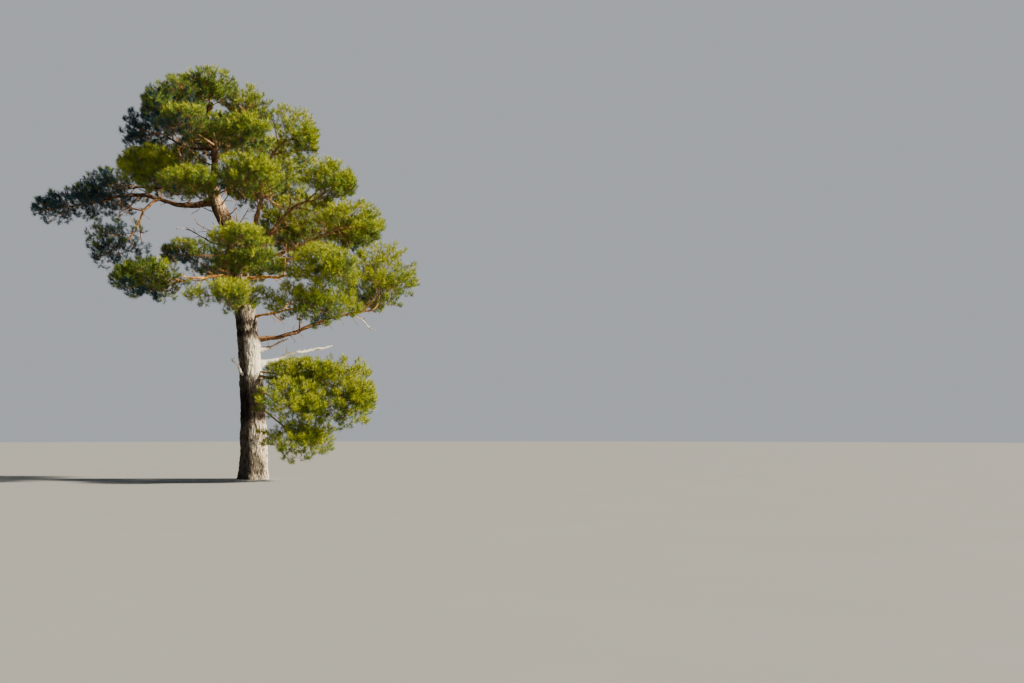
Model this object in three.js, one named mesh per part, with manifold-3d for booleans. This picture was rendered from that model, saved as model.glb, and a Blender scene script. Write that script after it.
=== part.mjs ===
// An old Scots pine, about 15 m tall and 14 m across, that grows in open ground.
// Millimetres, +Z up. +X is to the right and -Y is nearer, for someone who stands before the tree.
// The origin is at the middle of the flat cut under the trunk, at ground level.
//
// The trunk runs whole from the ground to the tip of its leader. Each bough is one tapering limb that is
// cut to fit what carries it. Each mass of needles is a stem with twigs and sprays, fused into one solid.

import * as THREE from "three";
import { mergeVertices } from "three/addons/utils/BufferGeometryUtils.js";
import Module from "manifold-3d";

const wasm = await Module();
wasm.setup();

// Driving dimensions

const gap = 0.3; // between a piece and what carries it

const bark = {
  baseRadius: 505, // of the trunk at ground level, without its flare
  vanishHeight: 15300, // the height at which the taper would come to nothing
  taperPower: 0.6,
  leaderShare: 0.64, // the leader's girth, as a share of the taper's, above the great left bough
  thinsFrom: 10250,
  thinsTo: 11250,
  flare: 85,
  flareHeight: 420,
  buttresses: 5,
  buttressDepth: 0.5,
  below: 300, // the trunk is made this far below the ground and then cut flat
  sides: 16,
  steps: 24,
};

// How far the middle of the trunk is from plumb at each height.
const bends = [
  { height: -bark.below, right: 0, back: 0 },
  { height: 0, right: 0, back: 0 },
  { height: 2600, right: -100, back: 0 },
  { height: 5200, right: -340, back: 0 },
  { height: 7800, right: -720, back: 0 },
  { height: 9100, right: -1030, back: 0 },
  { height: 10000, right: -1460, back: 40 },
  { height: 10600, right: -1710, back: 80 },
  { height: 11700, right: -1690, back: 40 },
  { height: 12700, right: -1760, back: 0 },
  { height: 13400, right: -2010, back: 30 },
  { height: 14100, right: -1900, back: 100 },
];

// Living boughs. at is the height on the trunk, or the share of the way along the bough named in from.
// heading is in degrees from +X towards +Y. reach and rise lead from the root to the tip. arch and wave
// bend the limb up or down, once or twice, and sway bends it sideways. root and tip are radii.
const boughs = [
  {
    name: "bough_far_left", at: 10350, heading: 180,
    reach: 3900, rise: -200, wave: -200, root: 130, tip: 42,
  },
  {
    name: "bough_left_inner", at: 10700, heading: 172,
    reach: 2900, rise: 50, arch: 120, sway: 90, root: 75, tip: 34,
  },
  {
    name: "bough_hanging", from: "bough_far_left", at: 0.52, heading: 197,
    reach: 700, rise: -1050, arch: 120, root: 62, tip: 36,
  },
  {
    name: "bough_left_upper", at: 11300, heading: 196,
    reach: 1560, rise: 0, arch: -110, root: 72, tip: 34,
  },
  {
    name: "bough_left_front", at: 10750, heading: 238,
    reach: 2050, rise: -250, arch: 90, root: 70, tip: 32,
  },
  {
    name: "bough_shoulder", at: 12300, heading: 168,
    reach: 1830, rise: 500, arch: -160, root: 58, tip: 30,
  },
  { name: "bough_top_right", at: 13150, heading: 8, reach: 1100, rise: 550, arch: -90, root: 46, tip: 26 },
  {
    name: "bough_right_leader", at: 8500, heading: 10,
    reach: 1720, rise: 4350, wave: -260, root: 118, tip: 44,
  },
  {
    name: "bough_right_upper", at: 8250, heading: -2, reach: 2700, rise: 2260,
    wave: -220, sway: -60, root: 98, tip: 38,
  },
  {
    name: "bough_right_outer", at: 7950, heading: -9,
    reach: 3350, rise: 1300, arch: -150, root: 86, tip: 38,
  },
  {
    name: "bough_far_right", at: 5150, heading: -4, reach: 4450, rise: 1180,
    arch: -60, wave: -110, root: 104, tip: 40,
  },
  {
    name: "bough_right_front", at: 7500, heading: -35,
    reach: 2750, rise: 80, arch: -110, root: 74, tip: 34,
  },
  { name: "bough_right_low", at: 6000, heading: -21, reach: 2050, rise: 380, arch: -70, root: 64, tip: 30 },
  { name: "bough_low_left", at: 7450, heading: 192, reach: 2300, rise: -300, arch: 120, root: 80, tip: 36 },
  {
    name: "bough_front_upper", at: 8250, heading: 274,
    reach: 2050, rise: 60, arch: -70, root: 78, tip: 36,
  },
  { name: "bough_front_low", at: 6950, heading: 265, reach: 2150, rise: -200, arch: 90, root: 74, tip: 34 },
  {
    name: "bough_skirt_outer", at: 3850, heading: -38,
    reach: 2250, rise: -40, arch: -160, root: 66, tip: 30,
  },
  {
    name: "bough_back_left", at: 10950, heading: 120,
    reach: 2300, rise: 150, arch: -80, root: 70, tip: 34,
  },
  {
    name: "bough_back_right", from: "bough_right_leader", at: 0.5, heading: 78,
    reach: 1700, rise: 450, arch: -60, root: 60, tip: 32,
  },
  { name: "bough_back_low", at: 7900, heading: 98, reach: 2050, rise: 100, arch: -60, root: 76, tip: 36 },
  {
    name: "bough_back_right_low", at: 8050, heading: 33,
    reach: 2750, rise: 560, arch: -120, root: 74, tip: 34,
  },
];

// Dead, bare limbs, given as the boughs are.
const snags = [
  { name: "snag_long", at: 4120, heading: 16, reach: 3200, rise: 940, arch: 110, root: 112, tip: 28 },
  { name: "snag_short", at: 4700, heading: 14, reach: 1450, rise: 560, arch: -70, root: 116, tip: 38 },
  { name: "snag_left", at: 3720, heading: 228, reach: 1080, rise: 700, arch: -100, root: 68, tip: 20 },
  {
    name: "snag_twisted", at: 8720, heading: 178,
    reach: 2100, rise: 480, wave: -130, sway: 120, root: 48, tip: 14,
  },
  {
    name: "snag_drooping", from: "bough_far_right", at: 0.84, heading: -10,
    reach: 820, rise: -620, arch: 70, root: 40, tip: 12,
  },
];

const boughShape = { sides: 6, steps: 7 };
const snagShape = { sides: 5, steps: 6 };
const stemShape = { sides: 4, steps: 3 };
const limbShape = { taperPower: 0.9, collar: 0.3 };

// Masses of needles. on is the bough whose tip carries the mass; without it, at is the height of its stem
// on the trunk. out and lift lead from there to the middle of the space that the mass keeps to, which is
// length long outwards, width across and height high, and whose outer end dips by that many degrees.
const masses = [
  {
    name: "needles_far_left", on: "bough_far_left", heading: 184, out: 1110, lift: -320,
    length: 2650, width: 1800, height: 1450, dip: 12,
  },
  {
    name: "needles_left_inner", on: "bough_left_inner", heading: 171, out: 720, lift: -290,
    length: 2850, width: 2400, height: 2050, dip: 8,
  },
  {
    name: "needles_hanging", on: "bough_hanging", heading: 205, out: 630, lift: -790,
    length: 2250, width: 1600, height: 2700, dip: 40,
  },
  {
    name: "needles_left_upper", on: "bough_left_upper", heading: 216, out: 730, lift: -140,
    length: 2650, width: 2200, height: 1750, dip: 2,
  },
  {
    name: "needles_left_front", on: "bough_left_front", heading: 294, out: 1250, lift: -260,
    length: 2400, width: 2350, height: 1250, dip: 4,
  },
  {
    name: "needles_shoulder", on: "bough_shoulder", heading: 138, out: 910, lift: 130,
    length: 1800, width: 2400, height: 2500, dip: 0,
  },
  {
    name: "needles_top_right", on: "bough_top_right", heading: 80, out: 440, lift: 460,
    length: 2400, width: 2550, height: 2200, dip: 0,
  },
  {
    name: "needles_right_knob", on: "bough_right_leader", heading: -29, out: 200, lift: 30,
    length: 2350, width: 2400, height: 2900, dip: 0,
  },
  {
    name: "needles_right_upper", on: "bough_right_upper", heading: -15, out: 400, lift: 580,
    length: 2650, width: 2400, height: 2200, dip: 0,
  },
  {
    name: "needles_right_outer", on: "bough_right_outer", heading: 40, out: 980, lift: 410,
    length: 3250, width: 2600, height: 2350, dip: 4,
  },
  {
    name: "needles_far_right", on: "bough_far_right", heading: 66, out: 780, lift: 1320,
    length: 2600, width: 3550, height: 3250, dip: 4,
  },
  {
    name: "needles_right_front", on: "bough_right_front", heading: 295, out: 1350, lift: -190,
    length: 2800, width: 2800, height: 2050, dip: 4,
  },
  {
    name: "needles_right_low", on: "bough_right_low", heading: 282, out: 1600, lift: -110,
    length: 2400, width: 3900, height: 1850, dip: 0,
  },
  {
    name: "needles_low_left", on: "bough_low_left", heading: 210, out: 640, lift: -30,
    length: 3600, width: 2200, height: 1650, dip: 2,
  },
  {
    name: "needles_front_upper", on: "bough_front_upper", heading: 272, out: 1050, lift: 40,
    length: 2400, width: 2350, height: 1050, dip: 2,
  },
  {
    name: "needles_front_low", on: "bough_front_low", heading: 266, out: 1060, lift: -460,
    length: 2600, width: 3350, height: 1250, dip: 2,
  },
  {
    name: "needles_skirt_outer", on: "bough_skirt_outer", heading: 323, out: 1680, lift: -950,
    length: 2650, width: 2400, height: 3400, dip: 6,
  },
  {
    name: "needles_back_left", on: "bough_back_left", heading: 121, out: 1320, lift: 1110,
    length: 3200, width: 3050, height: 2450, dip: 2,
  },
  {
    name: "needles_back_right", on: "bough_back_right", heading: 94, out: 1390, lift: 960,
    length: 3200, width: 3600, height: 3600, dip: 2,
  },
  {
    name: "needles_back_low", on: "bough_back_low", heading: 79, out: 1400, lift: 580,
    length: 3000, width: 3950, height: 2200, dip: 4,
  },
  {
    name: "needles_back_right_low", on: "bough_back_right_low", heading: 91, out: 1400, lift: 1480,
    length: 3200, width: 4150, height: 2900, dip: 2,
  },
  {
    name: "needles_top_left", at: 13100, heading: 210, out: 1440, lift: 440,
    length: 2350, width: 2400, height: 2150, dip: 0,
  },
  {
    name: "needles_top_middle", at: 13950, heading: 266, out: 80, lift: 460,
    length: 2200, width: 2450, height: 2150, dip: 0,
  },
  {
    name: "needles_top_back", at: 13550, heading: 117, out: 2090, lift: 1330,
    length: 2600, width: 2750, height: 1600, dip: 0,
  },
  {
    name: "needles_front_high", at: 12450, heading: 250, out: 2570, lift: -60,
    length: 2400, width: 2200, height: 1450, dip: 0,
  },
  {
    name: "needles_front_right", at: 11850, heading: 295, out: 2460, lift: 390,
    length: 2600, width: 2400, height: 1600, dip: 0,
  },
  {
    name: "needles_centre_right", at: 10900, heading: 295, out: 3060, lift: -280,
    length: 2600, width: 2700, height: 1800, dip: 2,
  },
  {
    name: "needles_left_low_inner", at: 8350, heading: 187, out: 1720, lift: -180,
    length: 1950, width: 2000, height: 1350, dip: 0,
  },
  {
    name: "needles_front_middle", at: 7850, heading: 279, out: 2630, lift: -210,
    length: 2400, width: 2850, height: 1250, dip: 2,
  },
  {
    name: "needles_skirt_upper", at: 4000, heading: 325, out: 2290, lift: -270,
    length: 3400, width: 2400, height: 1400, dip: 0,
  },
  {
    name: "needles_skirt_middle", at: 3350, heading: 304, out: 3000, lift: -750,
    length: 2800, width: 3700, height: 2150, dip: 2,
  },
  {
    name: "needles_skirt_low", at: 2900, heading: 306, out: 2700, lift: -1300,
    length: 2200, width: 3600, height: 2150, dip: 6,
  },
  {
    name: "needles_back_high", at: 12450, heading: 88, out: 2700, lift: 1160,
    length: 2800, width: 3250, height: 2000, dip: 0,
  },
];

// The rule by which each mass branches. Angles are in degrees, and the jitters are the most that a seeded
// draw adds or takes away. Depth in a space is 0 at its middle and 1 at its edge.
const rule = {
  firstSeed: 41,
  seedStep: 97, // from one mass to the next
  stemRoot: 42, // radius of a stem where it leaves the trunk; on a bough it is as thick as the bough's tip
  stemTip: 22,
  stemEnd: 0.5, // share of the way from the middle of the space to its outer end at which the stem ends
  firstTwigDepth: 0.8,
  samples: 40, // places along the stem at which that depth is looked for
  lastTwig: 0.98, // share of the stem
  spacing: 250, // along the space, from one twig to the next
  turn: 137.5, // about the stem, from one twig to the next
  turnJitter: 12,
  splay: 66, // between the stem and the first twig
  splayAtTip: 14, // between the stem and the last twig
  splayJitter: 6,
  rollJitter: 14, // of a spray, about its twig
  twigShare: 0.22, // a twig's length, as a share of the way from the stem to the edge of the space
  twigRoot: 12, // radius
  twigTip: 9,
  longest: 1500, // length of a spray
  shortest: 400,
  spread: 52, // from a spray's middle to its outer teeth
  teeth: 4,
  shortestTooth: 120,
  shares: [0.99, 0.85, 0.7, 0.55, 0.4], // a tooth takes the first of these shares of its way that is free
  notch: 0.24, // how far back a notch between two teeth reaches
  thickness: 0.06, // of a spray, as a share of its length
  thickest: 0.4, // share of its length at which it is so thick
  apart: 0.03, // how much deeper a point of a mass is in its own space than in any other
  stand: 4, // clear space between a twig and any limb or other stem
};

const colours = {
  bark: { color: 0x8a7264, roughness: 0.9, metalness: 0 },
  upperBark: { color: 0xa9683a, roughness: 0.85, metalness: 0 },
  deadWood: { color: 0xb9b1a4, roughness: 0.8, metalness: 0 },
  needles: { color: 0x5a6b24, roughness: 0.75, metalness: 0, flatShading: true },
};

// Helpers

const up = new THREE.Vector3(0, 0, 1);
const radians = THREE.MathUtils.degToRad;
const lerp = THREE.MathUtils.lerp;

// A unit vector, in degrees from +X towards +Y, that dips below the level by some degrees.
function pointing(heading, dip = 0) {
  const level = Math.cos(radians(dip));
  return new THREE.Vector3(
    Math.cos(radians(heading)) * level,
    Math.sin(radians(heading)) * level,
    -Math.sin(radians(dip)),
  );
}

function offset(point, heading, out, rise) {
  return point.clone().addScaledVector(pointing(heading), out).addScaledVector(up, rise);
}

// Park and Miller's generator, which gives the same numbers for the same seed in any language.
function seeded(seed) {
  let state = seed;
  return () => {
    state = (state * 16807) % 2147483647;
    return state / 2147483647;
  };
}

function geometryOf(points, faces) {
  const geometry = new THREE.BufferGeometry().setFromPoints(points);
  geometry.setIndex(faces);
  return geometry;
}

function solidOf(geometry) {
  const bare = geometry.clone();
  bare.deleteAttribute("normal");
  bare.deleteAttribute("uv");
  const merged = mergeVertices(bare, 0.001);
  return new wasm.Manifold(
    new wasm.Mesh({
      numProp: 3,
      vertProperties: merged.getAttribute("position").array,
      triVerts: merged.index.array,
    }),
  );
}

// The largest body of a solid, without the scraps that a cut leaves.
function largest(solid) {
  return solid.decompose().reduce((most, body) => (body.volume() > most.volume() ? body : most));
}

function boxesMeet(a, b) {
  const [p, q] = [a.boundingBox(), b.boundingBox()];
  return [0, 1, 2].every((i) => p.min[i] < q.max[i] && q.min[i] < p.max[i]);
}

function touches(solid, others) {
  return others.some((other) => boxesMeet(solid, other) && !solid.intersect(other).isEmpty());
}

// A named mesh of a solid, placed at its own foot.
function meshOf(name, solid, foot, look) {
  const made = solid.getMesh();
  const geometry = new THREE.BufferGeometry();
  geometry.setAttribute("position", new THREE.BufferAttribute(made.vertProperties, 3));
  geometry.setIndex(new THREE.BufferAttribute(made.triVerts, 1));
  geometry.translate(-foot.x, -foot.y, -foot.z);
  geometry.computeVertexNormals();
  const mesh = new THREE.Mesh(geometry, new THREE.MeshStandardMaterial(look));
  mesh.name = name;
  mesh.position.copy(foot);
  return mesh;
}

// A closed tube round a line. radiusAt is given the share of the way along and the angle round the line.
// grow makes it that much larger on every side, to cut a neighbour clear of it.
function tube(line, radiusAt, sides, steps, grow = 0) {
  const frames = line.computeFrenetFrames(steps, false);
  const points = [];
  const faces = [];
  for (let step = 0; step <= steps; step++) {
    const share = step / steps;
    const end = step === 0 ? -grow : step === steps ? grow : 0;
    const middle = line.getPointAt(share).addScaledVector(frames.tangents[step], end);
    for (let side = 0; side < sides; side++) {
      const angle = (2 * Math.PI * side) / sides;
      const radius = radiusAt(share, angle) + grow / Math.cos(Math.PI / sides);
      const point = middle.clone();
      point.addScaledVector(frames.normals[step], radius * Math.cos(angle));
      point.addScaledVector(frames.binormals[step], radius * Math.sin(angle));
      points.push(point);
      if (step < steps) {
        const next = (side + 1) % sides;
        const [a, b, c, d] = [side, next, side + sides, next + sides].map((i) => i + step * sides);
        faces.push(a, b, c, b, d, c);
      }
    }
  }
  const last = steps * sides;
  for (let side = 1; side < sides - 1; side++) {
    faces.push(0, side + 1, side, last, last + side, last + side + 1);
  }
  return solidOf(geometryOf(points, faces));
}

// Trunk

// The middle of the trunk, by height: cubic pieces with one slope on both sides of each bend.
class TrunkLine extends THREE.Curve {
  getPoint(share, target = new THREE.Vector3()) {
    return this.atHeight(lerp(bends[0].height, bends.at(-1).height, share), target);
  }

  atHeight(height, target = new THREE.Vector3()) {
    const above = bends.findIndex((bend) => bend.height >= height && bend !== bends[0]);
    const [low, high] = [bends[above - 1], bends[above]];
    const s = (height - low.height) / (high.height - low.height);
    const place = (axis) => {
      const rise = (i) => {
        const [a, b] = [bends[Math.max(i - 1, 0)], bends[Math.min(i + 1, bends.length - 1)]];
        return ((b[axis] - a[axis]) / (b.height - a.height)) * (high.height - low.height);
      };
      const ends = low[axis] * (1 + 2 * s) * (1 - s) ** 2 + high[axis] * (3 - 2 * s) * s ** 2;
      return ends + rise(above - 1) * s * (1 - s) ** 2 - rise(above) * (1 - s) * s ** 2;
    };
    return target.set(place("right"), place("back"), height);
  }
}

const trunkLine = new TrunkLine();

function trunkRadius(height) {
  const taper = Math.max(1 - height / bark.vanishHeight, 0) ** bark.taperPower;
  const thinned = THREE.MathUtils.smoothstep(height, bark.thinsFrom, bark.thinsTo);
  return bark.baseRadius * taper * lerp(1, bark.leaderShare, thinned);
}

function trunkTube(grow = 0) {
  const radiusAt = (share, angle) => {
    const height = trunkLine.getPointAt(share).z;
    const buttress = 1 + bark.buttressDepth * Math.cos(bark.buttresses * angle);
    return trunkRadius(height) + bark.flare * Math.exp(-Math.max(height, 0) / bark.flareHeight) * buttress;
  };
  return tube(trunkLine, radiusAt, bark.sides, bark.steps, grow);
}

function trunkSolid() {
  const wide = 4 * bark.baseRadius;
  const belowGround = new THREE.BoxGeometry(wide, wide, wide).translate(0, 0, -wide / 2);
  return trunkTube().subtract(solidOf(belowGround));
}

// Boughs and snags

// The middle of a limb, which leads from its root to its tip and bends on the way.
class LimbLine extends THREE.Curve {
  constructor(root, tip, { arch = 0, wave = 0, sway = 0 }) {
    super();
    this.root = root;
    this.chord = new THREE.Vector3().subVectors(tip, root);
    this.across = new THREE.Vector3().crossVectors(this.chord, up).normalize();
    this.over = new THREE.Vector3().crossVectors(this.across, this.chord).normalize();
    this.bend = { arch, wave, sway };
  }

  getPoint(share, target = new THREE.Vector3()) {
    const once = Math.sin(Math.PI * share);
    const twice = Math.sin(2 * Math.PI * share);
    target.copy(this.root).addScaledVector(this.chord, share);
    target.addScaledVector(this.over, this.bend.arch * once + this.bend.wave * twice);
    return target.addScaledVector(this.across, this.bend.sway * once);
  }
}

// What is left of a limb outside the trunk and the limbs made before it.
function cutClear(whole, earlier) {
  const cutters = [trunkCutter, ...[...earlier.values()].map((limb) => limb.cutter)];
  const near = cutters.filter((cutter) => boxesMeet(whole, cutter));
  return largest(near.reduce((left, cutter) => left.subtract(cutter), whole));
}

// A limb of the tables, cut clear of what carries it. standsOff is the same limb with clear space round it.
function limbOf(entry, carriers, { sides, steps }) {
  const carrier = carriers.get(entry.from);
  const root = carrier ? carrier.line.getPointAt(entry.at) : trunkLine.atHeight(entry.at);
  const hidden = carrier ? carrier.radiusAt(entry.at) : trunkRadius(entry.at);
  const tip = offset(root, entry.heading, entry.reach, entry.rise);
  const line = new LimbLine(root, tip, entry);
  const length = line.getLength();
  const radiusAt = (share) => {
    const clear = Math.max(share * length - hidden, 0);
    const collar = limbShape.collar * entry.root * Math.exp(-clear / entry.root);
    return lerp(entry.root, entry.tip, share ** limbShape.taperPower) + collar;
  };
  const whole = tube(line, radiusAt, sides, steps);
  const solid = cutClear(whole, carriers);
  const cutter = tube(line, radiusAt, sides, steps, gap);
  const standsOff = tube(line, radiusAt, sides, steps, rule.stand);
  return { line, radiusAt, root, tip, solid, cutter, standsOff };
}

// Masses of needles

// The space that a mass keeps to: a ball stretched along three axes of its own.
class Space {
  constructor(middle, entry) {
    const forward = pointing(entry.heading, entry.dip);
    const side = new THREE.Vector3().crossVectors(up, forward).normalize();
    const top = new THREE.Vector3().crossVectors(forward, side);
    this.middle = middle;
    this.axes = [forward, side, top];
    this.halves = [entry.length / 2, entry.width / 2, entry.height / 2];
  }

  // From the space's own measure, in which its edge is 1 from its middle.
  place(out, aside, above) {
    const target = this.middle.clone();
    [out, aside, above].forEach((share, i) => target.addScaledVector(this.axes[i], share * this.halves[i]));
    return target;
  }

  measure(vector) {
    return new THREE.Vector3(...this.axes.map((axis, i) => vector.dot(axis) / this.halves[i]));
  }

  depth(point) {
    return this.measure(point.clone().sub(this.middle)).length();
  }

  // How far it is from a point inside to the edge, in a direction.
  wayOut(point, direction) {
    const p = this.measure(point.clone().sub(this.middle));
    const d = this.measure(direction);
    const [a, b, c] = [d.dot(d), p.dot(d), p.dot(p) - 1];
    return c < 0 ? (Math.sqrt(b * b - a * c) - b) / a : 0;
  }
}

// The stem of a mass, from its bough's tip or from the trunk to well inside its space.
function stemOf(entry) {
  const limb = limbs.get(entry.on);
  const root = limb ? limb.tip : trunkLine.atHeight(entry.at);
  const middle = offset(root, entry.heading, entry.out, entry.lift);
  const space = new Space(middle, entry);
  const end = space.place(rule.stemEnd, 0, 0);
  const reach = root.distanceTo(end);
  const away = limb ? limb.line.getTangentAt(1) : middle.clone().sub(root).normalize();
  const start = limb ? root.clone().addScaledVector(away, gap) : root;
  const line = new THREE.CubicBezierCurve3(
    start,
    start.clone().addScaledVector(away, reach / 3),
    end.clone().addScaledVector(space.axes[0], -reach / 3),
    end,
  );
  const thick = limb ? limb.radiusAt(1) : rule.stemRoot;
  const radiusAt = (share) => lerp(thick, rule.stemTip, share);
  const whole = tube(line, radiusAt, stemShape.sides, stemShape.steps);
  const solid = limb ? whole : cutClear(whole, limbs);
  const standsOff = tube(line, radiusAt, stemShape.sides, stemShape.steps, rule.stand);
  return { line, space, foot: start, solid, standsOff };
}

// A place in the middle of a stem's solid, which is straight from step to step.
function insideStem({ line }, share) {
  const step = Math.min(Math.floor(share * stemShape.steps), stemShape.steps - 1);
  const [from, to] = [step, step + 1].map((i) => line.getPointAt(i / stemShape.steps));
  return from.lerp(to, share * stemShape.steps - step);
}

// A three-sided twig that ends in a spray of needles: a blade that fans out to a row of teeth and is
// thickest in the middle. Each tooth reaches as far as there is way for it. A spray with too short a tooth
// is left out.
function twigSolid({ root, base, direction, across }, wayFor) {
  const facing = new THREE.Vector3().crossVectors(direction, across);
  const at = (from, ...steps) => {
    const target = from.clone();
    [direction, across, facing].forEach((axis, i) => target.addScaledVector(axis, steps[i]));
    return target;
  };
  const ring = (middle, radius) =>
    [90, 210, 330].map((angle) => {
      return at(middle, 0, radius * Math.cos(radians(angle)), radius * Math.sin(radians(angle)));
    });
  const teeth = Array.from({ length: rule.teeth }, (_, i) => {
    const angle = radians(lerp(-rule.spread, rule.spread, i / (rule.teeth - 1)));
    const way = at(new THREE.Vector3(), Math.cos(angle), Math.sin(angle), 0);
    return base.clone().addScaledVector(way, wayFor(base, way));
  });
  const lengths = teeth.map((tooth) => tooth.distanceTo(base));
  const length = Math.max(...lengths);
  if (length < rule.shortest || Math.min(...lengths) < rule.shortestTooth) return null;
  const notch = (i) => teeth[i].clone().lerp(teeth[i - 1], 0.5).lerp(base, rule.notch);
  const fan = teeth.flatMap((tooth, i) => (i ? [notch(i), tooth] : [tooth]));
  const half = (rule.thickness * length) / 2;
  const peaks = [half, -half].map((above) => at(base, rule.thickest * length, 0, above));
  const points = [...ring(root, rule.twigRoot), ...ring(base, rule.twigTip), ...fan, ...peaks];
  const [top, left, right, firstTooth] = [3, 4, 5, 6];
  const lastTooth = firstTooth + fan.length - 1;
  const [peak, under] = [lastTooth + 1, lastTooth + 2];
  const faces = [0, 2, 1];
  for (let i = 0; i < 3; i++) {
    const next = (i + 1) % 3;
    faces.push(i, next, i + 3, next, next + 3, i + 3);
  }
  const rim = [left, ...fan.map((_, i) => firstTooth + i), right];
  rim.slice(1).forEach((corner, i) => faces.push(peak, rim[i], corner, under, corner, rim[i]));
  faces.push(top, left, peak, right, top, peak, left, right, under);
  return solidOf(geometryOf(points, faces));
}

// Where the twigs of a mass run: each leaves the stem for its own side of the space, the outer ones leaning
// further forwards.
function twigPlaces(stem, random) {
  const { line, space } = stem;
  const jitter = (most) => radians((2 * random() - 1) * most);
  const shares = Array.from({ length: rule.samples }, (_, i) => i / rule.samples);
  const first = shares.find((share) => space.depth(line.getPointAt(share)) < rule.firstTwigDepth);
  const count = Math.round((2 * space.halves[0]) / rule.spacing);
  return Array.from({ length: count }, (_, k) => {
    const out = k / (count - 1);
    const share = lerp(first, rule.lastTwig, out);
    const root = insideStem(stem, share);
    const forward = line.getTangentAt(share);
    const side = new THREE.Vector3().crossVectors(up, forward).normalize();
    const turn = radians(k * rule.turn) + jitter(rule.turnJitter);
    const radial = side.applyAxisAngle(forward, turn);
    const splay = radians(lerp(rule.splay, rule.splayAtTip, out ** 2)) + jitter(rule.splayJitter);
    const across = new THREE.Vector3().crossVectors(forward, radial);
    const direction = forward.clone().applyAxisAngle(across, splay);
    const base = root.clone().addScaledVector(direction, rule.twigShare * space.wayOut(root, direction));
    across.applyAxisAngle(direction, jitter(rule.rollJitter));
    return { root, base, direction, across };
  });
}

// A mass: its stem, with the twigs that fit in its space without touching.
function massOf(index, stem, obstacles, spaces) {
  const random = seeded(rule.firstSeed + rule.seedStep * index);
  const { space } = stem;
  const others = spaces.filter((other) => other !== space);
  const isOwn = (point) => {
    const depth = space.depth(point);
    return depth < 1 && others.every((other) => other.depth(point) > depth + rule.apart);
  };
  const wayFor = (point, direction) => {
    const way = Math.min(space.wayOut(point, direction), rule.longest);
    const fits = rule.shares.find((share) => isOwn(point.clone().addScaledVector(direction, share * way)));
    return fits ? fits * way : 0;
  };
  const twigs = [];
  for (const place of twigPlaces(stem, random)) {
    const twig = twigSolid(place, wayFor);
    if (twig && !touches(twig, [...obstacles, ...twigs])) twigs.push(twig);
  }
  return largest(twigs.reduce((whole, twig) => whole.add(twig), stem.solid));
}

// Assembly

const trunkCutter = trunkTube(gap);
const limbs = new Map();
const group = new THREE.Group();
group.add(meshOf("trunk", trunkSolid(), new THREE.Vector3(), colours.bark));
for (const entry of [...boughs, ...snags]) {
  const dead = snags.includes(entry);
  const limb = limbOf(entry, limbs, dead ? snagShape : boughShape);
  limbs.set(entry.name, limb);
  group.add(meshOf(entry.name, limb.solid, limb.root, dead ? colours.deadWood : colours.upperBark));
}
const stems = masses.map(stemOf);
const limbsAround = [trunkTube(rule.stand), ...[...limbs.values()].map((limb) => limb.standsOff)];
const spaces = stems.map((stem) => stem.space);
const finished = [];
masses.forEach((entry, i) => {
  const otherStems = stems.filter((stem) => stem !== stems[i]).map((stem) => stem.standsOff);
  const obstacles = [...limbsAround, ...otherStems, ...finished];
  const solid = massOf(i, stems[i], obstacles, spaces);
  finished.push(solid);
  group.add(meshOf(entry.name, solid, stems[i].foot, colours.needles));
});

export default group;
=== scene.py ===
# An old Scots pine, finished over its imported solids. Metres, +Z up, the origin under the trunk on the ground.

import math

import bpy
import numpy as np
from mathutils import Matrix, Quaternion, Vector, noise


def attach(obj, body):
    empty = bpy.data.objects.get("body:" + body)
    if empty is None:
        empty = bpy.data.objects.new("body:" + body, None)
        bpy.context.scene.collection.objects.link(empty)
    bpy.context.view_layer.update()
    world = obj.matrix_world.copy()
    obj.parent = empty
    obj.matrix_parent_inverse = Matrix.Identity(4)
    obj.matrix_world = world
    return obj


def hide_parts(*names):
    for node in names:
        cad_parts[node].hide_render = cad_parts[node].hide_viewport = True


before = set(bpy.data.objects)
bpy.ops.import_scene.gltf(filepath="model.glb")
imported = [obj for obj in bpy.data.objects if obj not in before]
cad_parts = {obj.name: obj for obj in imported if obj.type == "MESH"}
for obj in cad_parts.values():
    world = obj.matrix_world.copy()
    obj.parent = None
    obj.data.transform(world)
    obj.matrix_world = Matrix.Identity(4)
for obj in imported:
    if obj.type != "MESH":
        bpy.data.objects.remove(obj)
for name in ("Cube", "Light", "Camera"):
    if name in bpy.data.objects:
        bpy.data.objects.remove(bpy.data.objects[name])
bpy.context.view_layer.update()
up = Vector((0, 0, 1))
noise.seed_set(11)     # noise_vector starts from the time of day without it
print("frame loaded with", len(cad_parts), "nodes")


# Small helpers

def lerp(low, high, share):
    return low + (high - low) * share


def easeBetween(low, high, value):
    share = min(max((value - low) / (high - low), 0.0), 1.0)
    return share * share * (3 - 2 * share)


# a unit vector, in degrees from +X towards +Y, dipping below the level
def pointing(heading, dip=0):
    level = math.cos(math.radians(dip))
    turn = math.radians(heading)
    return Vector((math.cos(turn) * level, math.sin(turn) * level, -math.sin(math.radians(dip))))


# Park and Miller's generator, which draws the same numbers as the source's does
def seeded(seed):
    state = seed
    while True:
        state = state * 16807 % 2147483647
        yield state / 2147483647


def jitter(draws, most):
    return (2 * next(draws) - 1) * most


def deselectAll():
    bpy.ops.object.select_all(action="DESELECT")


def makeActive(piece):
    deselectAll()
    piece.select_set(True)
    bpy.context.view_layer.objects.active = piece


def applyModifier(piece, kind, **settings):
    makeActive(piece)
    modifier = piece.modifiers.new(kind.title(), kind)
    for name, value in settings.items():
        setattr(modifier, name, value)
    bpy.ops.object.modifier_apply(modifier=modifier.name)


def finishPiece(piece, look, slot, nodes):
    piece.data.materials.clear()
    piece.data.materials.append(look)
    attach(piece, "root")
    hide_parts(*nodes)


# A line that is walked by the share of its length

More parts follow.
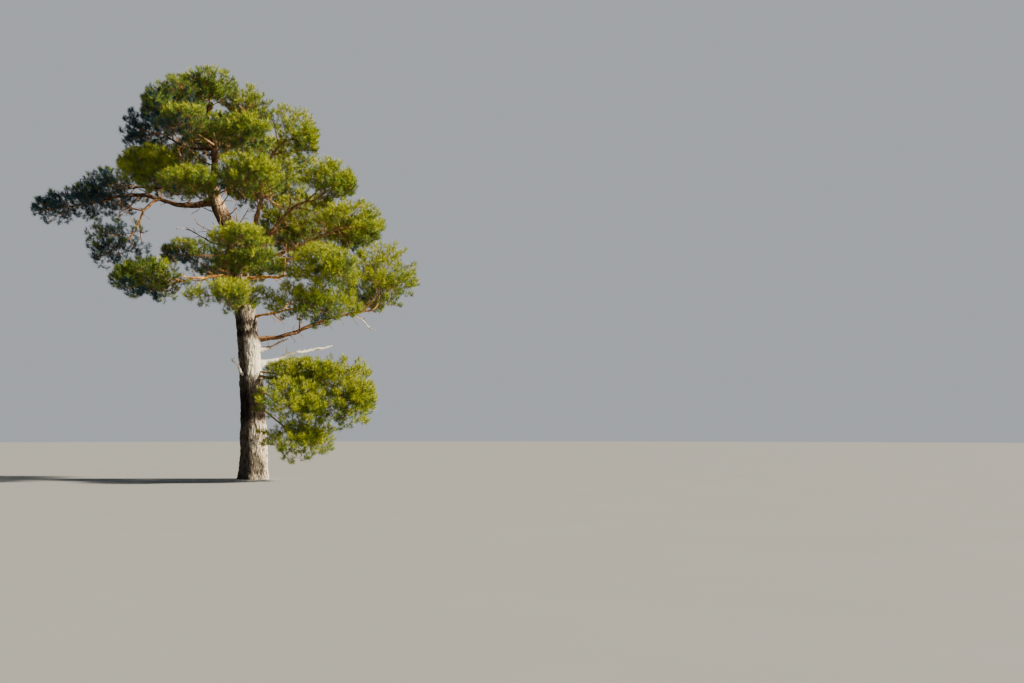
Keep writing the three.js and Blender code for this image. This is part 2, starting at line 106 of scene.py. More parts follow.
class Line:
    def __init__(self, places):
        self.places = np.array(places)
        steps = np.linalg.norm(np.diff(self.places, axis=0), axis=1)
        self.travelled = np.concatenate([[0.0], np.cumsum(steps)])
        self.length = self.travelled[-1]

    def at(self, share):
        here = share * self.length
        return Vector([np.interp(here, self.travelled, self.places[:, axis]) for axis in range(3)])

    def heading(self, share, step=0.01):
        return (self.at(min(share + step, 1)) - self.at(max(share - step, 0))).normalized()


# Materials

def newMaterial(name, roughness, specular):
    material = bpy.data.materials.new(name)
    material.use_nodes = True
    tree = material.node_tree
    shader = tree.nodes["Principled BSDF"]
    shader.inputs["Roughness"].default_value = roughness
    shader.inputs["Specular IOR Level"].default_value = specular
    return material, tree, shader


def addNode(tree, kind, inputs=(), **settings):
    node = tree.nodes.new(kind)
    for name, value in settings.items():
        setattr(node, name, value)
    for name, value in dict(inputs).items():
        if isinstance(value, bpy.types.NodeSocket):
            tree.links.new(value, node.inputs[name])
        else:
            node.inputs[name].default_value = value
    return node


def addRamp(tree, value, stops):
    node = addNode(tree, "ShaderNodeValToRGB", {"Fac": value})
    ramp = node.color_ramp
    while len(ramp.elements) < len(stops):
        ramp.elements.new(0.5)
    for element, (place, colour) in zip(ramp.elements, stops):
        element.position = place
        element.color = (*colour, 1)
    return node.outputs["Color"]


def addMix(tree, share, first, second, blend="MIX"):
    node = addNode(tree, "ShaderNodeMix", data_type="RGBA", blend_type=blend)
    for socket, value in zip([0, 6, 7], [share, first, second]):
        if isinstance(value, bpy.types.NodeSocket):
            tree.links.new(value, node.inputs[socket])
        elif socket:
            node.inputs[socket].default_value = (*value, 1)
        else:
            node.inputs[socket].default_value = value
    return node.outputs[2]


def addMath(tree, operation, first, second):
    return addNode(tree, "ShaderNodeMath", {0: first, 1: second}, operation=operation).outputs[0]


def addNoise(tree, place, **inputs):
    return addNode(tree, "ShaderNodeTexNoise", {"Vector": place, **inputs}).outputs


def greys(*values):
    return [(place, (value, value, value)) for place, value in values]


# what all the barks share
bark = {
    "specular": 0.12,
    "tall": 15,             # metres of height that the colours are laid out over
    "warpDetail": 5,
    "fineDetail": 8,
    "fineRoughness": 0.7,
    "tintGreys": greys((0, 0.15), (1, 0.85)),
    "grainGreys": greys((0.3, 0.1), (0.7, 0.9)),
    "bumpGreys": greys((0.25, 0), (0.75, 1)),
    "fleckEdge": 0.05,
    "bumpFromGrain": 0.35,
    "bumpStrength": 0.8,
}


# Bark in plates with cracks and streaks. The plates' colour follows the height above the ground, and blur is
# how far, in metres, the fine noise carries one colour into the next.
def barkMaterial(name, look):
    material, tree, shader = newMaterial(name, look["roughness"], bark["specular"])
    place = addNode(tree, "ShaderNodeTexCoord").outputs["Object"]
    warp = addNoise(tree, place, Scale=look["warpScale"], Detail=bark["warpDetail"])["Color"]
    bent = addMix(tree, look["warp"], place, warp, "ADD")
    stretched = addNode(tree, "ShaderNodeMapping", {"Vector": bent, "Scale": look["plates"]}).outputs[0]
    cells = addNode(tree, "ShaderNodeTexVoronoi", {"Vector": stretched, "Scale": 1},
                    feature="DISTANCE_TO_EDGE").outputs["Distance"]
    crack = addRamp(tree, cells, greys((0, 0), (look["crack"], 1)))
    tint = addNode(tree, "ShaderNodeTexVoronoi", {"Vector": stretched, "Scale": 1}).outputs["Color"]
    tint = addNode(tree, "ShaderNodeSeparateColor", {"Color": tint}).outputs["Red"]
    grain = {"Scale": look["fine"], "Detail": bark["fineDetail"], "Roughness": bark["fineRoughness"]}
    fine = addNoise(tree, stretched, **grain)["Fac"]
    axes = addNode(tree, "ShaderNodeSeparateXYZ", {"Vector": place}).outputs
    share = addMath(tree, "DIVIDE", axes["Z"], bark["tall"])
    shift = addMath(tree, "MULTIPLY", fine, look["blur"] / bark["tall"])
    plates = addRamp(tree, addMath(tree, "ADD", share, shift), look["colours"])
    varied = addMix(tree, look["variety"], plates, addRamp(tree, tint, bark["tintGreys"]), "OVERLAY")
    grained = addMix(tree, look["grain"], varied, addRamp(tree, fine, bark["grainGreys"]), "OVERLAY")
    flecks = addRamp(tree, fine, greys((look["fleck"] - bark["fleckEdge"], 0), (look["fleck"], 1)))
    colour = addMix(tree, addMix(tree, 1.0, crack, flecks, "DARKEN"), look["crackColour"], grained)
    if "bare" in look:
        aside = asideOfTrunk(tree, axes, share, fine)
        colour = addMix(tree, bareMask(tree, axes, aside, fine, look["bare"]), colour, look["bare"]["colour"])
        # painted shade: the trunk's bark is darkened on its side away from the sun
        damp = look["damp"]
        shade = addRamp(tree, aside, greys((damp["from"], damp["shade"]), (damp["to"], 1)))
        colour = addMix(tree, 1.0, colour, shade, "MULTIPLY")
    tree.links.new(colour, shader.inputs["Base Color"])
    relief = addMix(tree, bark["bumpFromGrain"], crack, addRamp(tree, fine, bark["bumpGreys"]))
    bump = addNode(tree, "ShaderNodeBump",
                   {"Height": relief, "Strength": bark["bumpStrength"], "Distance": look["bump"]})
    tree.links.new(bump.outputs["Normal"], shader.inputs["Normal"])
    return material


# How far a place lies to the right of a line that runs half a metre left of the trunk's middle, with a ragged
# edge. A ramp holds the trunk's lean, which is to the left and less than most.
def asideOfTrunk(tree, axes, share, fine, most=2, shift=0.5):
    bends = [bend for bend in trunk["bends"] if bend[0] >= 0]
    leans = greys(*[(height / bark["tall"], -right / most) for height, right, back in bends])
    middle = addMath(tree, "MULTIPLY", addRamp(tree, share, leans), most)
    aside = addMath(tree, "ADD", axes["X"], middle)
    ragged = addMath(tree, "MULTIPLY", fine, trunkLook["ragged"])
    return addMath(tree, "ADD", addMath(tree, "ADD", aside, ragged), shift)


# where the bark is gone: between two heights and on the +X side
def bareMask(tree, axes, aside, fine, bare):
    low, high, fade, span = bare["from"], bare["to"], bare["fade"], bare["span"]
    stops = greys((low / span, 0), ((low + fade) / span, 1), ((high - fade) / span, 1), (high / span, 0))
    height = addMath(tree, "ADD", axes["Z"], addMath(tree, "MULTIPLY", fine, bare["ragged"]))
    share = addMath(tree, "DIVIDE", height, span)
    onSide = addRamp(tree, aside, greys((bare["side"], 0), (bare["side"] + bare["sideEdge"], 1)))
    return addMix(tree, 1.0, addRamp(tree, share, stops), onSide, "DARKEN")


# spread is how much darker and lighter a needle's colour becomes from place to place
needleLook = {
    "roughness": 0.6,
    "specular": 0.15,
    "spread": 0.22,
    "scale": 9,
    "detail": 2,
    "between": (0.35, 0.65),
}


def needleMaterial(name, colour):
    material, tree, shader = newMaterial(name, needleLook["roughness"], needleLook["specular"])
    place = addNode(tree, "ShaderNodeTexCoord").outputs["Object"]
    patches = addNoise(tree, place, Scale=needleLook["scale"], Detail=needleLook["detail"])["Fac"]
    amounts = (1 - needleLook["spread"], 1 + needleLook["spread"])
    shades = [[min(part * amount, 1) for part in colour] for amount in amounts]
    varied = addRamp(tree, patches, list(zip(needleLook["between"], shades)))
    tree.links.new(varied, shader.inputs["Base Color"])
    return material


# Stage: floor, light and camera

stage = {
    "floorRadius": 160,
    "floorSides": 128,
    "floorColour": (0.34, 0.34, 0.33),
    "floorPatch": 0.97,     # how dark the floor's faint patches are
    "floorPatchScale": 0.4,
    "backdropColour": (0.70, 0.74, 0.80),
    "backdropStrength": 0.60,
    "fillColour": (0.72, 0.85, 1.0),
    "fillStrength": 0.20,
    "keyColour": (1.0, 0.90, 0.72),
    "keyStrength": 11.5,
    "keyHeading": 76,       # degrees to the right of the camera's side of the tree
    "keyHeight": 28,        # degrees above the level
    "keySoftness": 4,       # degrees that the light is wide
    "keyPlace": (12, -12, 16),
}

cameraPlace = {
    "distance": 38.197,
    "height": 1.7,
    "turnRight": 14.412,
    "tiltUp": 5.233,
    "lens": 35,
    "seesTo": 500,
}


def makeStage():
    deselectAll()
    bpy.ops.mesh.primitive_circle_add(
        vertices=stage["floorSides"], radius=stage["floorRadius"], fill_type="NGON")
    floor = bpy.context.object
    floor.name = "floor"
    material, tree, shader = newMaterial("paleFloor", 0.95, 0.1)
    place = addNode(tree, "ShaderNodeTexCoord").outputs["Object"]
    patches = addNoise(tree, place, Scale=stage["floorPatchScale"])["Fac"]
    pale = stage["floorColour"]
    colour = addRamp(tree, patches, [(0.3, [stage["floorPatch"] * part for part in pale]), (0.7, pale)])
    tree.links.new(colour, shader.inputs["Base Color"])
    floor.data.materials.append(material)

    world = bpy.data.worlds.new("studio")
    world.use_nodes = True
    tree = world.node_tree
    fill = tree.nodes["Background"]
    fill.inputs["Color"].default_value = (*stage["fillColour"], 1)
    fill.inputs["Strength"].default_value = stage["fillStrength"]
    backdrop = addNode(tree, "ShaderNodeBackground",
                       {"Color": (*stage["backdropColour"], 1), "Strength": stage["backdropStrength"]})
    seen = addNode(tree, "ShaderNodeLightPath").outputs["Is Camera Ray"]
    chosen = addNode(tree, "ShaderNodeMixShader", {0: seen, 1: fill.outputs[0], 2: backdrop.outputs[0]})
    tree.links.new(chosen.outputs[0], tree.nodes["World Output"].inputs["Surface"])
    bpy.context.scene.world = world

    turn = (math.radians(90 - stage["keyHeight"]), 0, math.radians(stage["keyHeading"]))
    bpy.ops.object.light_add(type="SUN", location=stage["keyPlace"], rotation=turn)
    key = bpy.context.object.data
    key.energy = stage["keyStrength"]
    key.color = stage["keyColour"]
    key.angle = math.radians(stage["keySoftness"])

    look = (math.radians(90 + cameraPlace["tiltUp"]), 0, -math.radians(cameraPlace["turnRight"]))
    spot = (0, -cameraPlace["distance"], cameraPlace["height"])
    bpy.ops.object.camera_add(location=spot, rotation=look)
    camera = bpy.context.object
    camera.data.lens = cameraPlace["lens"]
    camera.data.clip_end = cameraPlace["seesTo"]
    bpy.context.scene.camera = camera
    print("stage made")


# Limbs: a curve with a round bevel, made a mesh, then given the bark's relief

def limbPiece(name, places, radii, sides, smoothing):
    deselectAll()
    bpy.ops.curve.primitive_bezier_curve_add()
    limb = bpy.context.object
    limb.name = name
    limb.data.splines.clear()
    spline = limb.data.splines.new("POLY")
    spline.points.add(len(places) - 1)
    shrinks = (4 + 2 * math.cos(2 * math.pi / sides)) / 6     # what smoothing leaves of a round limb's radius
    for point, place, radius in zip(spline.points, places, radii):
        point.co = (*place, 1)
        point.radius = radius / shrinks
    limb.data.bevel_depth = 1
    limb.data.bevel_resolution = sides // 2 - 2
    limb.data.use_fill_caps = True
    bpy.ops.object.convert(target="MESH")
    applyModifier(limb, "SUBSURF", levels=smoothing, render_levels=smoothing)
    return limb


# how far the bark stands out at a place: in where a crack runs, and in and out with lumps and flakes
def reliefAt(place, relief):
    bent = noise.noise_vector(place * relief["warpScale"]) * relief["warp"]
    bent += noise.noise_vector(place * relief["jagScale"]) * relief["jag"]
    wide, tall = relief["plateWidth"], relief["plateHeight"]
    near = noise.voronoi(Vector((place.x / wide, place.y / wide, place.z / tall)) + bent)[0]
    crack = 1 - easeBetween(0, relief["crackWidth"], near[1] - near[0])
    flake = relief["flake"] * noise.noise(place * relief["flakeScale"])
    lump = relief["lump"] * noise.noise(place * relief["lumpScale"])
    return lump + relief["strength"](place.z) * (flake - relief["crackDepth"] * crack)


def carveRelief(piece, relief):
    mesh = piece.data
    places, normals = np.zeros((2, len(mesh.vertices), 3), np.float32)
    mesh.vertices.foreach_get("co", places.ravel())
    mesh.vertices.foreach_get("normal", normals.ravel())
    depths = np.array([reliefAt(Vector(place), relief) for place in places])
    mesh.vertices.foreach_set("co", (places + normals * depths[:, None]).ravel())
    mesh.update()
    mesh.shade_smooth()


# Trunk

trunk = {
    "baseRadius": 0.505,
    "vanishHeight": 15.3,
    "taperPower": 0.6,
    "leaderShare": 0.64,
    "thinsFrom": 10.25,
    "thinsTo": 11.25,
    "flare": 0.085,
    "flareHeight": 0.42,
    "flareReach": 2.52,
    "buttresses": 5,
    "buttressDepth": 0.5,
    "sides": 40,
    "ringSpacing": 0.11,
    "smoothing": 2,
    # height, right, back
    "bends": [
        (-0.3, 0, 0), (0, 0, 0), (2.6, -0.1, 0), (5.2, -0.34, 0), (7.8, -0.72, 0), (9.1, -1.03, 0),
        (10, -1.46, 0.04), (10.6, -1.71, 0.08), (11.7, -1.69, 0.04), (12.7, -1.76, 0),
        (13.4, -2.01, 0.03), (14.1, -1.9, 0.1),
    ],
}

trunkRelief = {
    "plateWidth": 0.085,
    "plateHeight": 0.50,
    "warp": 0.6,
    "warpScale": 1.7,
    "jag": 0.4,
    "jagScale": 6,
    "crackWidth": 0.24,
    "crackDepth": 0.032,
    "lump": 0.04,
    "lumpScale": 1.6,
    "flake": 0.014,
    "flakeScale": 11,
    "strength": lambda height: lerp(1, 0.35, easeBetween(7.5, 10, height)),
}

trunkLook = {
    "roughness": 0.9,
    "plates": (12, 12, 1.9),
    "warp": 0.16,
    "warpScale": 3.2,
    "crack": 0.09,
    "crackColour": (0.05, 0.034, 0.026),
    "fine": 2.6,
    "fleck": 0.44,
    "blur": 0.8,
    "variety": 0.5,
    "grain": 0.7,
    "bump": 0.05,
    # painted shadow: the dark band from about 2.7 to 3.5 m stands for the low boughs' shadow. The dark rings
    # from about 5.7 to 6.2 m are the knotty collar's dark bark with painted shade, and the light orange from
    # about 9.9 to 11.1 m is a painted highlight. The fine noise brings each up to 0.8 m lower.
    "colours": [
        (0, (0.96, 0.78, 0.58)), (0.145, (0.97, 0.80, 0.61)), (0.165, (0.66, 0.54, 0.42)),
        (0.178, (0.20, 0.15, 0.11)), (0.231, (0.15, 0.11, 0.085)), (0.252, (0.40, 0.31, 0.24)),
        (0.272, (0.80, 0.68, 0.53)), (0.372, (0.72, 0.61, 0.48)), (0.381, (0.10, 0.075, 0.06)),
        (0.391, (0.13, 0.10, 0.08)), (0.399, (0.66, 0.55, 0.43)), (0.405, (0.13, 0.10, 0.08)),
        (0.413, (0.15, 0.11, 0.09)), (0.424, (0.52, 0.42, 0.33)), (0.485, (0.54, 0.43, 0.33)),
        (0.545, (0.42, 0.28, 0.18)), (0.66, (0.84, 0.60, 0.37)), (0.74, (0.74, 0.48, 0.26)),
        (0.80, (0.17, 0.095, 0.05)), (1, (0.13, 0.07, 0.035)),
    ],
    "bare": {
        "colour": (0.98, 0.87, 0.68),
        "from": 3.8,
        "to": 5.25,
        "fade": 0.12,
        "span": 20,             # metres of height that the ramp covers
        "ragged": 0.3,
        "side": 0.52,
        "sideEdge": 0.06,
    },
    "damp": {"from": 0.40, "to": 0.52, "shade": 0.17},     # painted shade: the bark is darkened on the side away from the sun
    "ragged": 0.16,             # width of the edge between the two sides
}

# scars and stubs of lost branches: height, heading, half width and how far each stands out
knotHollow = {"depth": 1.1, "width": 0.4}      # shares of the knot's own
trunkKnots = [
    (4.98, -30, 0.20, 0.060), (4.85, -75, 0.16, 0.045), (5.12, 20, 0.20, 0.05), (5.35, -95, 0.13, 0.04),
    (3.45, -50, 0.12, 0.035), (2.75, -20, 0.15, 0.05), (2.55, -110, 0.14, 0.045), (2.9, 150, 0.13, 0.04),
    (1.55, -70, 0.10, 0.03), (4.1, 170, 0.13, 0.04), (6.1, 60, 0.14, 0.04), (6.6, -140, 0.12, 0.04),
]


def trunkMiddle(height):
    bends = trunk["bends"]
    above = next(i for i, bend in enumerate(bends) if i and bend[0] >= height - 1e-9)
    low, high = bends[above - 1], bends[above]
    share = (height - low[0]) / (high[0] - low[0])

    def slope(i, axis):
        before, after = bends[max(i - 1, 0)], bends[min(i + 1, len(bends) - 1)]
        return (after[axis] - before[axis]) / (after[0] - before[0]) * (high[0] - low[0])

    def along(axis):
        ends = low[axis] * (1 + 2 * share) * (1 - share) ** 2 + high[axis] * (3 - 2 * share) * share ** 2
        leaving = slope(above - 1, axis) * share * (1 - share) ** 2
        return ends + leaving - slope(above, axis) * (1 - share) * share ** 2

    return Vector((along(1), along(2), height))


def trunkRadius(height):
    taper = max(1 - height / trunk["vanishHeight"], 0) ** trunk["taperPower"]
    return trunk["baseRadius"] * taper * lerp(1, trunk["leaderShare"],
                                              easeBetween(trunk["thinsFrom"], trunk["thinsTo"], height))


# pushes the foot of the trunk out into its buttresses
def flareFoot(piece):
    for vertex in piece.data.vertices:
        place = vertex.co
        if place.z < trunk["flareReach"]:
            angle = math.atan2(place.y, place.x)
            lobes = 1 - trunk["buttressDepth"] * math.cos(trunk["buttresses"] * angle)
            fade = math.exp(-max(place.z, 0) / trunk["flareHeight"])
            out = Vector((place.x, place.y, 0)).normalized()
            vertex.co = place + out * trunk["flare"] * lobes * fade


# swells the bark round each knot and leaves a hollow in its middle
def raiseKnots(piece):
    places, normals = np.zeros((2, len(piece.data.vertices), 3), np.float32)
    piece.data.vertices.foreach_get("co", places.ravel())
    piece.data.vertices.foreach_get("normal", normals.ravel())
    for height, heading, wide, high in trunkKnots:
        middle = trunkMiddle(height) + pointing(heading) * trunkRadius(height)
        away = np.linalg.norm(places - np.array(middle), axis=1) / wide
        swell = np.exp(-away ** 2) - knotHollow["depth"] * np.exp(-(away / knotHollow["width"]) ** 2)
        places += normals * (high * swell)[:, None]
    piece.data.vertices.foreach_set("co", places.ravel())
    piece.data.update()


def makeTrunk():
    low, high = trunk["bends"][0][0], trunk["bends"][-1][0]
    heights = np.linspace(low, high, round((high - low) / trunk["ringSpacing"]) // 2 + 1)
    places = [trunkMiddle(height) for height in heights]
    radii = [trunkRadius(height) for height in heights]
    piece = limbPiece("trunkBark", places, radii, trunk["sides"], trunk["smoothing"])
    flareFoot(piece)
    raiseKnots(piece)
    carveRelief(piece, trunkRelief)
    makeActive(piece)
    bpy.ops.object.mode_set(mode="EDIT")
    bpy.ops.mesh.select_all(action="SELECT")
    bpy.ops.mesh.bisect(plane_co=(0, 0, 0), plane_no=(0, 0, 1), clear_inner=True, use_fill=True)
    bpy.ops.object.mode_set(mode="OBJECT")
    finishPiece(piece, barkMaterial("trunkBark", trunkLook), "trunk_bark", ["trunk"])
    print("trunk made with", len(piece.data.polygons), "faces")
    return piece


# Boughs and snags. at is the height where a limb leaves the trunk, or the share of the way along the bough
# that from names. reach and rise lead from root to tip, and arch, wave and sway bend the limb between them.

limbColumns = ("name", "from", "at", "heading", "reach", "rise", "arch", "wave", "sway", "root", "tip")

boughs = [dict(zip(limbColumns, row)) for row in [
    ("bough_far_left", None, 10.35, 180, 3.9, -0.2, 0, -0.2, 0, 0.13, 0.042),
    ("bough_left_inner", None, 10.7, 172, 2.9, 0.05, 0.12, 0, 0.09, 0.075, 0.034),
    ("bough_hanging", "bough_far_left", 0.52, 197, 0.7, -1.05, 0.12, 0, 0, 0.062, 0.036),
    ("bough_left_upper", None, 11.3, 196, 1.56, 0, -0.11, 0, 0, 0.072, 0.034),
    ("bough_left_front", None, 10.75, 238, 2.05, -0.25, 0.09, 0, 0, 0.07, 0.032),
    ("bough_shoulder", None, 12.3, 168, 1.83, 0.5, -0.16, 0, 0, 0.058, 0.03),
    ("bough_top_right", None, 13.15, 8, 1.1, 0.55, -0.09, 0, 0, 0.046, 0.026),
    ("bough_right_leader", None, 8.5, 10, 1.72, 4.35, 0, -0.26, 0, 0.118, 0.044),
    ("bough_right_upper", None, 8.25, -2, 2.7, 2.26, 0, -0.22, -0.06, 0.098, 0.038),
    ("bough_right_outer", None, 7.95, -9, 3.35, 1.3, -0.15, 0, 0, 0.086, 0.038),
    ("bough_far_right", None, 5.15, -4, 4.45, 1.18, -0.06, -0.11, 0, 0.104, 0.04),
    ("bough_right_front", None, 7.5, -35, 2.75, 0.08, -0.11, 0, 0, 0.074, 0.034),
    ("bough_right_low", None, 6, -21, 2.05, 0.38, -0.07, 0, 0, 0.064, 0.03),
    ("bough_low_left", None, 7.45, 192, 2.3, -0.3, 0.12, 0, 0, 0.08, 0.036),
    ("bough_front_upper", None, 8.25, 274, 2.05, 0.06, -0.07, 0, 0, 0.078, 0.036),
    ("bough_front_low", None, 6.95, 265, 2.15, -0.2, 0.09, 0, 0, 0.074, 0.034),
    ("bough_skirt_outer", None, 3.85, -38, 2.25, -0.04, -0.16, 0, 0, 0.066, 0.03),
    ("bough_back_left", None, 10.95, 120, 2.3, 0.15, -0.08, 0, 0, 0.07, 0.034),
    ("bough_back_right", "bough_right_leader", 0.5, 78, 1.7, 0.45, -0.06, 0, 0, 0.06, 0.032),
    ("bough_back_low", None, 7.9, 98, 2.05, 0.1, -0.06, 0, 0, 0.076, 0.036),
    ("bough_back_right_low", None, 8.05, 33, 2.75, 0.56, -0.12, 0, 0, 0.074, 0.034),
]]

snags = [dict(zip(limbColumns, row)) for row in [
    ("snag_long", None, 4.12, 16, 3.2, 0.94, 0.11, 0, 0, 0.112, 0.028),
    ("snag_short", None, 4.7, 14, 1.45, 0.56, -0.07, 0, 0, 0.116, 0.038),
    ("snag_left", None, 3.72, 228, 1.08, 0.7, -0.1, 0, 0, 0.068, 0.02),
    ("snag_twisted", None, 8.72, 178, 2.1, 0.48, 0, -0.13, 0.12, 0.048, 0.014),
    ("snag_drooping", "bough_far_right", 0.84, -10, 0.82, -0.62, 0.07, 0, 0, 0.04, 0.012),
]]

limbShape = {
    "taperPower": 0.9,
    "collar": 0.3,
    "startsIn": 0.5,          # share of the way out of its carrier where a limb's mesh starts
    "samples": 120,
    "sides": 8,
    "ringSpacing": 0.11,
    "smoothing": 2,
    "wander": 0.10,
    "wanderScale": 1.3,
    "kink": 0.05,
    "kinkScale": 3.6,
    "deadCrook": 1.6,         # how much more crooked a dead limb is
    "knob": 0.9,
    "knobScale": 4.5,
}

boughRelief = {
    "plateWidth": 0.075,
    "plateHeight": 0.12,
    "warp": 0.5,
    "warpScale": 4,
    "crackWidth": 0.3,
    "jag": 0.3,
    "jagScale": 14,
    "crackDepth": 0.012,
    "lump": 0.022,
    "lumpScale": 3.4,
    "flake": 0.006,
    "flakeScale": 26,
    "strength": lambda height: 1,
}

boughLook = {
    "roughness": 0.75,
    "plates": (13, 13, 8),
    "warp": 0.08,
    "warpScale": 5,
    "crack": 0.06,
    "crackColour": (0.10, 0.045, 0.02),
    "fine": 2.5,
    "fleck": 0.36,
    "blur": 0.5,
    "variety": 0.65,
    "grain": 0.75,
    "bump": 0.02,
    # painted highlight: the bright orange from about 6.8 to 8 m stands for boughs lit by the sun
    "colours": [
        (0, (0.40, 0.24, 0.13)), (0.33, (0.24, 0.13, 0.07)), (0.40, (0.30, 0.16, 0.075)),
        (0.45, (0.82, 0.46, 0.13)), (0.53, (0.80, 0.44, 0.13)), (0.58, (0.34, 0.18, 0.08)),
        (1, (0.38, 0.21, 0.09)),
    ],
}

# the boughs on the side away from the sun are darker
shadedBoughLook = dict(boughLook, crackColour=(0.03, 0.018, 0.012), colours=[
    (0, (0.12, 0.075, 0.045)), (0.6, (0.12, 0.065, 0.034)), (1, (0.11, 0.06, 0.032)),
])
shadedBoughs = ["bough_far_left", "bough_left_inner", "bough_left_upper", "bough_shoulder", "bough_back_left"]

deadLook = {
    "roughness": 0.7,
    "plates": (16, 16, 5),
    "warp": 0.05,
    "warpScale": 4,
    "crack": 0.03,
    "crackColour": (0.36, 0.30, 0.24),
    "fine": 3,
    "fleck": 0.30,
    "blur": 0.5,
    "variety": 0.2,
    "grain": 0.4,
    "bump": 0.01,
    "colours": [(0, (0.86, 0.79, 0.68)), (1, (0.70, 0.62, 0.52))],
}

shadedDeadLook = dict(deadLook, crackColour=(0.04, 0.03, 0.025), colours=[
    (0, (0.20, 0.15, 0.12)), (1, (0.15, 0.11, 0.09)),
])
shadedSnags = ["snag_twisted"]

limbs = {}


def limbLine(root, tip, entry):
    chord = tip - root
    across = chord.cross(up).normalized()
    over = across.cross(chord).normalized()
    places = []
    for share in np.linspace(0, 1, limbShape["samples"]):
        once, twice = math.sin(math.pi * share), math.sin(2 * math.pi * share)
        bend = over * (entry["arch"] * once + entry["wave"] * twice)
        places.append(root + chord * share + bend + across * entry["sway"] * once)
    return Line(places)


def layOutLimb(entry):
    carrier = limbs.get(entry["from"])
    root = carrier["line"].at(entry["at"]) if carrier else trunkMiddle(entry["at"])
    hidden = carrier["radiusAt"](entry["at"]) if carrier else trunkRadius(entry["at"])
    tip = root + pointing(entry["heading"]) * entry["reach"] + up * entry["rise"]
    line = limbLine(root, tip, entry)

    def radiusAt(share):
        clear = max(share * line.length - hidden, 0)
        collar = limbShape["collar"] * entry["root"] * math.exp(-clear / entry["root"])
        return lerp(entry["root"], entry["tip"], share ** limbShape["taperPower"]) + collar

    limbs[entry["name"]] = {"line": line, "radiusAt": radiusAt, "tip": tip, "hidden": hidden}


def plainName(name, ending):
    first, *rest = name.split("_")
    return first + "".join(part.title() for part in rest) + ending


def makeLimb(entry, look, slot):
    limb = limbs[entry["name"]]
    line = limb["line"]
    start = limbShape["startsIn"] * limb["hidden"] / line.length
    shares = np.linspace(start, 1, round(line.length / limbShape["ringSpacing"]) + 2)
    crooked = limbShape["deadCrook"] if entry in snags else 1
    places = []
    for share in shares:
        place = line.at(share)
        wander = noise.noise_vector(place * limbShape["wanderScale"]) * limbShape["wander"]
        kink = noise.noise_vector(place * limbShape["kinkScale"]) * limbShape["kink"] * crooked
        places.append(place + (wander + kink) * abs(math.sin(math.pi * share)) ** 0.5)
    limb["placed"] = Line(places)
    radii = [limb["radiusAt"](share) for share in shares]
    if entry in snags:
        knobs = [noise.noise(place * limbShape["knobScale"]) for place in places]
        radii = [radius * (1 + limbShape["knob"] * max(knob, 0)) for radius, knob in zip(radii, knobs)]
    name = plainName(entry["name"], "Bark")
    piece = limbPiece(name, places, radii, limbShape["sides"], limbShape["smoothing"])
    carveRelief(piece, boughRelief)
    finishPiece(piece, look, slot, [entry["name"]])


def makeLimbs():
    for entry in boughs + snags:
        layOutLimb(entry)
    sunny, shaded = barkMaterial("boughBark", boughLook), barkMaterial("shadedBoughBark", shadedBoughLook)
    for entry in boughs:
        makeLimb(entry, shaded if entry["name"] in shadedBoughs else sunny, "bough_bark")
    bleached, dark = barkMaterial("deadWood", deadLook), barkMaterial("shadedDeadWood", shadedDeadLook)
    for entry in snags:
        makeLimb(entry, dark if entry["name"] in shadedSnags else bleached, "dead_wood")
    print("boughs and snags made:", len(limbs))


# Masses of needles. from is the bough that carries the mass, or the height of its stem on the trunk. out and
# lift lead to the middle of the space that the mass keeps to, and dip tips its outer end down. light is painted
# light and shade: how much lighter or darker than the rest of the crown its sprays are dealt, for the sun and
# shade that fall on it. open is the share of its sprays that are left out.

massColumns = ("name", "from", "heading", "out", "lift", "length", "width", "height", "dip", "light", "open")

